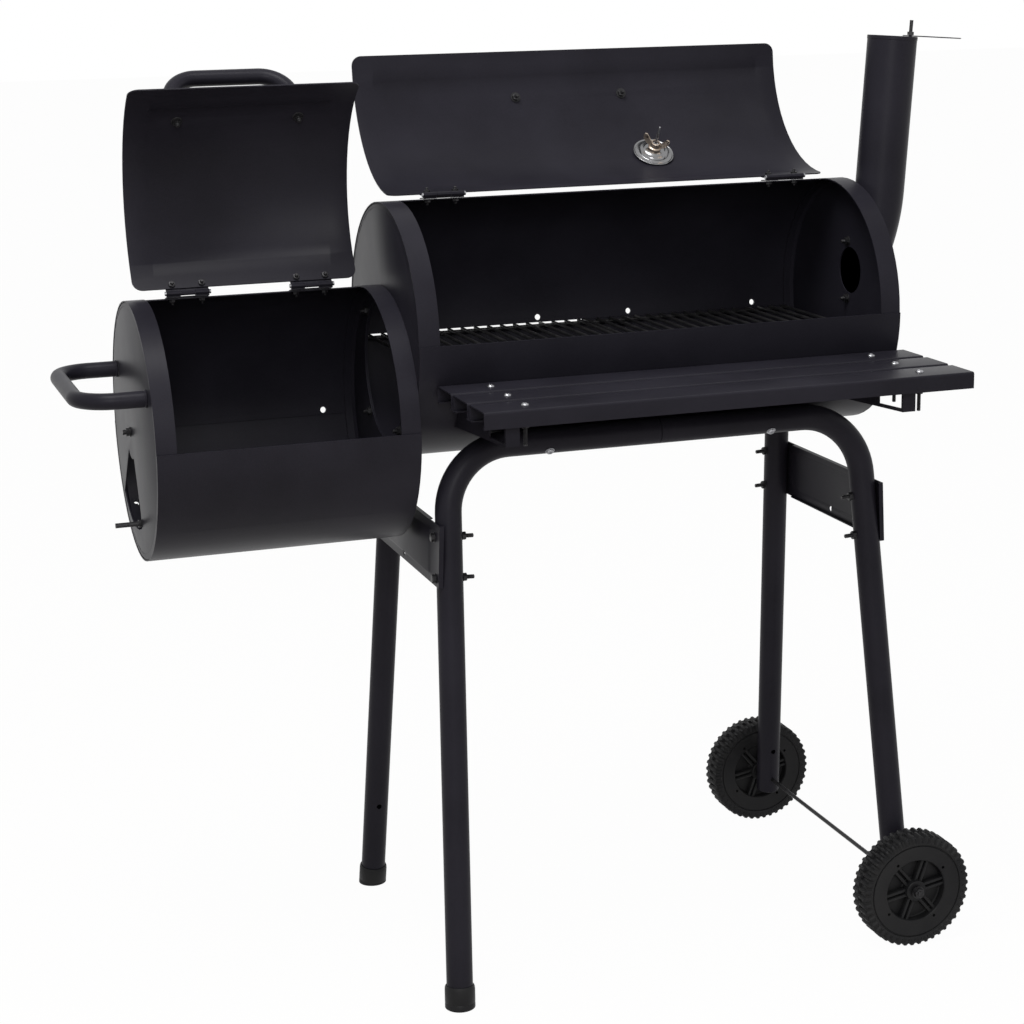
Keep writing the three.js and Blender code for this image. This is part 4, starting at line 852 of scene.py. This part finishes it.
def chimney():
    """The chimney's pipe with its flange, a hem round its mouth and the ear for its cap, and the two
    bolts of the flange."""
    rise_of_foot = 36    # above the axis of the chamber
    top = 1108
    lean = math.radians(4.2)
    reach = 30.3
    foot = at(0, -20, CHAMBER.z / MM + rise_of_foot)
    foot.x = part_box("chimney_tube")[0].x
    corner = foot + ALONG * reach * MM
    height = top * MM - foot.z
    mouth = corner + Vector((height * math.tan(lean), 0, height))
    axis = (mouth - corner).normalized()
    shape = Shape()
    shape.pipe(chimney_line(foot, mouth, reach, lean), 30.5, SHEET, 64, 0.5)
    bmesh.ops.bridge_loops(shape.mesh, edges=shape.cut_off(foot, -ALONG))
    shape.turned([(29.8, 0), (41.6, 0), (42, 0.4), (42, 1.6), (41.6, 2), (29.8, 2)],
                 facing(foot, ALONG), 64, closed=True)
    # The ear inside the mouth that holds the bolt of the cap.
    side = BACK.cross(axis)
    ear = [mouth + (side * u + BACK * v - axis * 12) * MM
           for u, v in ((18.6, -6), (29.6, -6), (29.6, 6), (18.6, 6))]
    shape.prism(ear, Vector(), axis * 2 * MM)
    # A hem rolled round the mouth.
    shape.turned([(30.3, -5), (30.9, -4.4), (30.9, -0.6), (30.5, -0.1)], facing(mouth, axis), 64)
    made("chimney_pipe", shape, "black_steel", "stand", ["chimney_tube"])

    bolts = Shape()
    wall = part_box("main_right_end_cap")[1].x
    for rise in (-36, 36):
        seat = foot + Vector((2, 6, rise)) * MM
        pan_head(bolts, facing(seat, ALONG, 15), 3.8, 2.4)
        inside = facing(Vector((wall - (SHEET + 0.05) * MM, seat.y, seat.z)), -ALONG)
        bolt_end(bolts, inside, 6.2, 0.9, 9.5, 20)
    made("chimney_flange_bolts", bolts, "dark_bolt", "stand")


# ---------------------------------------------------------------- screws of the shelf, hinges and ends

def shelf_screws():
    """A zinc-plated screw down through each slat into each bracket, with a nut underneath."""
    heads, nuts = Shape(), Shape()
    brackets = [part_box(f"shelf_bracket_{hand}")[0].x + 26 * MM for hand in ("left", "right")]
    for slat in ("back", "middle", "front"):
        low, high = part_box(f"shelf_slat_{slat}")
        y = (low.y + high.y) / 2
        for index, x in enumerate(brackets):
            top = Vector((x, y, high.z))
            pan_head(heads, facing(top - UP * SUNK * MM, UP, 25 + 40 * index), 4.6, 2.4)
            under = facing(top - UP * 21.4 * MM, -UP, 14)
            washer(nuts, under, 5.4, 0.8, 0.1)
            nut(nuts, under @ Matrix.Translation(UP * 0.8 * MM), 8, 3.2, 2.0)
            thread(nuts, under, 2.3, -19, 24, 0.9)
    made("shelf_screw_heads", heads, "bright_steel", "stand")
    made("shelf_screw_nuts", nuts, "dark_bolt", "stand")


def hinge_screws():
    """Two low screws hold each leaf of the hinges, with nuts inside the barrel and the lid."""
    sets = (
        ("chamber", CHAMBER, CHAMBER_LID, 88, ("main_hinge_left", "main_hinge_right"), "chamber_lid"),
        ("firebox", FIREBOX, FIREBOX_LID, 78, ("firebox_hinge_left", "firebox_hinge_right"), "fuel_lid"),
    )
    from_pin = 4.1       # degrees round the barrel
    for barrel, axis, lid, angle, hinges, lid_body in sets:
        fixed, moving = Shape(), Shape()
        for name in hinges:
            for side in (-17.5, 17.5):
                x = (middle(f"{name}_pin").x - CHAMBER.x) / MM + side
                back = angle - from_pin
                out = outward(back)
                pan_head(fixed, facing(on_section(axis, x, SHELL + ON_LEAF, back), out), 4, 1.7)
                inside = facing(on_section(axis, x, SHELL - SHEET - CLEAR, back), -out, 9)
                nut(fixed, inside, 7, 2.8, 1.8)
                thread(fixed, inside, 1.9, 0.5, 6, 0.8)
                ahead = angle + from_pin
                out = outward(ahead)
                seat = on_section(axis, x, LID + SHEET + ON_LEAF, ahead)
                pan_head(moving, lid @ facing(seat, out), 4, 1.7)
                inside = lid @ facing(on_section(axis, x, LID - CLEAR, ahead), -out, 9)
                nut(moving, inside, 7, 2.8, 1.8)
                thread(moving, inside, 1.9, 0.5, 6, 0.8)
        made(f"{barrel}_hinge_screws", fixed, "dark_bolt", "stand")
        made(f"{barrel}_lid_hinge_screws", moving, "dark_bolt", lid_body)


def throat_bolts():
    """Nuts inside the firebox, on the bolts that tie it to the end of the chamber."""
    shape = Shape()
    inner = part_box("firebox_right_end_cap")[1].x - SHEET * MM
    between = (CHAMBER.z + FIREBOX.z) / 2
    for y in (-66, 66):
        for z in (-62, 62):
            seat = Vector((inner, CHAMBER.y + y * MM, between + z * MM))
            bolt_end(shape, facing(seat, -ALONG), 6.5, 1.0, 9, 12)
    made("throat_bolts", shape, "dark_bolt", "stand")


# ---------------------------------------------------------------- thermometer

GAUGE_ANGLE = 124.2
GAUGE_X = 82.6
NUT_TURN = 35            # of the wing nut about the stem


def gauge_place(radius):
    """Outward from the lid at the middle of the gauge, where the open lid rests."""
    place = on_section(CHAMBER, GAUGE_X, radius, GAUGE_ANGLE)
    return CHAMBER_LID @ standing(place, ALONG, outward(GAUGE_ANGLE))


def thermometer():
    """A bimetal gauge: a beaded case, a dial with marks and a pointer outside the lid, and the
    pressed plate, wing nut and probe inside it."""
    place = gauge_place(LID + PRESSED + SHEET / 2)
    out = place.to_3x3() @ UP
    case = Shape()
    case.turned([(0, 1.1), (28, 1.1), (30.4, 2.0), (31, 3.2), (31, 9.8), (30.4, 10.6), (30.9, 11.6),
                 (30.9, 13.2), (30.2, 14.0), (29.2, 14.1), (28.5, 13.4), (28.5, 10.1), (0, 10.1)],
                place, 72)
    case.turned([(0, -18.6), (3.6, -18.2), (4, -17.6), (4, 1.2), (0, 1.2)], place, 28)
    case.turned([(0, -44), (1.0, -43.6), (1.5, -42.6), (1.5, -16), (0, -16)], place, 20)
    made("thermometer_body", case, "bright_steel", "chamber_lid", ["thermometer_case"])

    dial = Shape()
    dial.turned([(0, 10.3), (27.9, 10.3), (28.1, 10.5), (28.1, 11.5), (27.8, 11.7), (0, 11.7)], place, 72)
    made("thermometer_face", dial, "dial", "chamber_lid", ["thermometer_dial"])

    marks = Shape()
    for step in range(31):
        turn = math.radians(-135 + 9 * step)
        long_mark = step % 5 == 0
        way = Vector((-math.sin(turn), -math.cos(turn), 0))
        across = Vector((way.y, -way.x, 0)) * (0.55 if long_mark else 0.28)
        inner = way * (20.5 if long_mark else 22.8)
        outer = way * 25.4
        corners = [place @ (corner * MM)
                   for corner in (inner - across, outer - across, outer + across, inner + across)]
        marks.prism(corners, out * 11.6 * MM, out * 11.85 * MM)
    slant = place @ Matrix.Rotation(math.radians(-118), 4, "Z")
    pointer = [slant @ (Vector((u, v, 0)) * MM)
               for u, v in ((0.9, 5), (0.2, -19.5), (-0.2, -19.5), (-0.9, 5))]
    marks.prism(pointer, out * 12.1 * MM, out * 12.5 * MM)
    marks.turned([(0, 11.6), (1.6, 11.6), (1.6, 12.8), (1.2, 13.1), (0, 13.1)], place, 24)
    made("thermometer_marks", marks, "black_plastic", "chamber_lid")

    # Inside the round lid a flat plate 28 mm in radius rests on its rim.
    inside = -(SHEET / 2 + TOUCH) - 28 ** 2 / (2 * LID)
    plate = Shape()
    plate.turned([(4.35, inside - 5.0), (10, inside - 5.0), (15, inside - 3.6), (17, inside - 0.9),
                  (19, inside - 0.2), (25, inside + 0.1), (25.8, inside - 0.4), (25.8, inside - 1.2),
                  (25.2, inside - 1.7), (24.2, inside - 1.5), (23.6, inside - 1.0), (20.4, inside - 1.3),
                  (19.2, inside - 1.9), (18.3, inside - 3.8), (17.6, inside - 4.5), (14.6, inside - 5.0),
                  (13.8, inside - 5.3), (12.8, inside - 6.2), (11.6, inside - 6.5), (9, inside - 6.7),
                  (4.35, inside - 6.7)], place, 96, closed=True)
    made("thermometer_plate", plate, "chrome", "chamber_lid", ["thermometer_back_plate"])

    top = inside - 7.05
    wings = Shape()
    turned = place @ Matrix.Rotation(math.radians(NUT_TURN), 4, "Z")
    wings.turned([(4.2, top), (7.8, top), (8.2, top - 0.5), (8.2, top - 2.4), (7.6, top - 3.0),
                  (6.6, top - 3.4), (6.0, top - 8.6), (5.4, top - 9.2), (4.2, top - 9.2)],
                 place, 40, closed=True)
    for side in (-1, 1):
        outline = [(5, top - 2.0), (9.4, top - 3.4), (13.6, top - 6.6), (16.6, top - 10.8),
                   (17.2, top - 14.6), (15.8, top - 17.2), (12.8, top - 17.2), (10.4, top - 14.2),
                   (8.0, top - 10.6), (5, top - 8.8)]
        points = [turned @ (Vector((side * u, 0, v)) * MM) for u, v in outline]
        half_thick = turned.to_3x3() @ BACK * 1.1 * MM
        wings.prism(points, -half_thick, half_thick)
    made("thermometer_nut", wings, "brass", "chamber_lid", ["thermometer_wing_nut"])


# ---------------------------------------------------------------- grates

LONG_BAR = 2.5           # radius of the bars along a grate
WIRE = 2.0               # radius of the wires across it
WELD = 0.8               # how deep the wires are sunk into the bars


def bar(shape, start, direction, length, radius, sides):
    """A round bar with broken ends. Its length is in metres."""
    run = length / MM
    shape.turned([(0, 0), (radius - 0.4, 0), (radius, 0.5), (radius, run - 0.5), (radius - 0.4, run),
                  (0, run)], facing(start, direction), sides)


def grate(node, name, body, pitch):
    """A welded grate: three round bars along it, and wires across them, sunk in at the welds."""
    low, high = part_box(node)
    length = high.x - low.x
    centre = (low.y + high.y) / 2
    half_depth = (high.y - low.y) / 2 - LONG_BAR * MM
    level = low.z + LONG_BAR * MM
    shape = Shape()
    for share in (-1, 0, 1):
        bar(shape, Vector((low.x, centre + share * half_depth, level)), ALONG, length, LONG_BAR, 18)
    run = length - 2 * WIRE * MM
    count = round(run / MM / pitch)
    for i in range(count + 1):
        x = low.x + WIRE * MM + run * i / count
        start = Vector((x, centre - half_depth - 1 * MM, level + (LONG_BAR + WIRE - WELD) * MM))
        bar(shape, start, BACK, 2 * half_depth + 2 * MM, WIRE, 14)
    made(name, shape, "grate_wire", body, [node])


# ---------------------------------------------------------------- studio

def camera():
    """Stands in front of the left end, a little above the lids, looking right and down."""
    yaw = 0.320
    pitch = 0.240
    roll = -0.020
    place = CHAMBER + Vector((-0.9841, -2.5275, 0.4127))
    ahead = Vector((math.sin(yaw), math.cos(yaw), 0))
    forward = ahead * math.cos(pitch) - UP * math.sin(pitch)
    level = Vector((math.cos(yaw), -math.sin(yaw), 0))
    upright = level.cross(forward)
    right = math.cos(roll) * level + math.sin(roll) * upright
    up = math.cos(roll) * upright - math.sin(roll) * level
    data = bpy.data.cameras.new("camera")
    data.sensor_width = 36
    data.lens = 78.06
    data.clip_end = 60
    view = placed("camera", data)
    view.matrix_world = Matrix.Translation(place) @ Matrix((right, up, -forward)).transposed().to_4x4()
    bpy.context.scene.camera = view


def seen_directly(tree):
    """1 for rays from the camera, a mirror or glass, else 0."""
    path = tree.nodes.new("ShaderNodeLightPath")
    seen = path.outputs["Is Camera Ray"]
    for kind in ("Is Glossy Ray", "Is Transmission Ray"):
        either = tree.nodes.new("ShaderNodeMath")
        either.operation = "MAXIMUM"
        tree.links.new(seen, either.inputs[0])
        tree.links.new(path.outputs[kind], either.inputs[1])
        seen = either.outputs[0]
    return seen


def floor():
    """A wide pale floor. Seen directly it is nearly white, with a trace of the smoker's shadow."""
    mesh = bpy.data.meshes.new("floor")
    half = 25
    corners = [(-half, -half, 0), (half, -half, 0), (half, half, 0), (-half, half, 0)]
    mesh.from_pydata(corners, [], [(0, 1, 2, 3)])
    ground = placed("floor", mesh)
    material = bpy.data.materials.new("pale_floor")
    material.use_nodes = True
    tree = material.node_tree
    tree.nodes.clear()
    matt = tree.nodes.new("ShaderNodeBsdfDiffuse")
    matt.inputs["Color"].default_value = (0.86, 0.79, 0.74, 1)
    glow = tree.nodes.new("ShaderNodeEmission")
    glow.inputs["Color"].default_value = (1, 1, 1, 1)
    share = tree.nodes.new("ShaderNodeMath")
    share.operation = "MULTIPLY"
    share.inputs[1].default_value = 0.975
    mix = tree.nodes.new("ShaderNodeMixShader")
    output = tree.nodes.new("ShaderNodeOutputMaterial")
    tree.links.new(seen_directly(tree), share.inputs[0])
    tree.links.new(share.outputs[0], mix.inputs[0])
    tree.links.new(matt.outputs[0], mix.inputs[1])
    tree.links.new(glow.outputs[0], mix.inputs[2])
    tree.links.new(mix.outputs[0], output.inputs["Surface"])
    mesh.materials.append(material)


def surroundings():
    """A soft even light from all round, white where it is seen directly."""
    world = bpy.data.worlds.new("studio")
    bpy.context.scene.world = world
    world.use_nodes = True
    tree = world.node_tree
    tree.nodes.clear()
    background = tree.nodes.new("ShaderNodeBackground")
    background.inputs["Color"].default_value = (1, 1, 1, 1)
    strength = tree.nodes.new("ShaderNodeMapRange")
    strength.inputs["To Min"].default_value = 0.36
    strength.inputs["To Max"].default_value = 1.0
    output = tree.nodes.new("ShaderNodeOutputWorld")
    tree.links.new(seen_directly(tree), strength.inputs["Value"])
    tree.links.new(strength.outputs["Result"], background.inputs["Strength"])
    tree.links.new(background.outputs[0], output.inputs["Surface"])


def softbox(name, place, aim, width, power):
    """A square lamp turned towards a point."""
    data = bpy.data.lights.new(name, "AREA")
    data.size = width
    data.energy = power
    lamp = placed(name, data)
    lamp.location = place
    lamp.rotation_euler = (Vector(aim) - Vector(place)).to_track_quat("-Z", "Y").to_euler()


def studio():
    """Lamps in front on the left, above, and weakly in front on the right."""
    centre = (0, 0, 0.65)
    softbox("left_box", (-0.9, -2.9, 1.9), centre, 1.0, 32)
    softbox("right_box", (2.7, -1.5, 1.6), centre, 1.2, 4)
    softbox("top_box", (-0.5, -0.6, 2.6), centre, 0.9, 34)
    bpy.context.scene.view_settings.view_transform = "Standard"


# ---------------------------------------------------------------- everything, in order

camera()
surroundings()
floor()
studio()
finish_frame()

leg_tubes()
bracket_bolts()
frame_bolts()
foot_caps()
wheel("front_wheel", "wheel_front", "front_tyred_wheel")
wheel("back_wheel", "wheel_back", "back_tyred_wheel")
axle_ends()
lid_handle("main_lid_handle", "chamber_lid_grip", "chamber_lid", CHAMBER_LID, CHAMBER, 159.5, -8.5, 60)
lid_handle("firebox_lid_handle", "firebox_lid_grip", "fuel_lid", FIREBOX_LID, FIREBOX, 157,
           (FIREBOX.x - CHAMBER.x) / MM - 5, 69)
side_handle()
end_cap_seams()
chimney()
shelf_screws()
hinge_screws()
throat_bolts()
thermometer()
grate("cooking_grate_left", "left_cooking_grate", "grate_left", 18)
grate("cooking_grate_right", "right_cooking_grate", "grate_right", 18)
grate("charcoal_grate", "coal_grate", "grate_coal", 15)
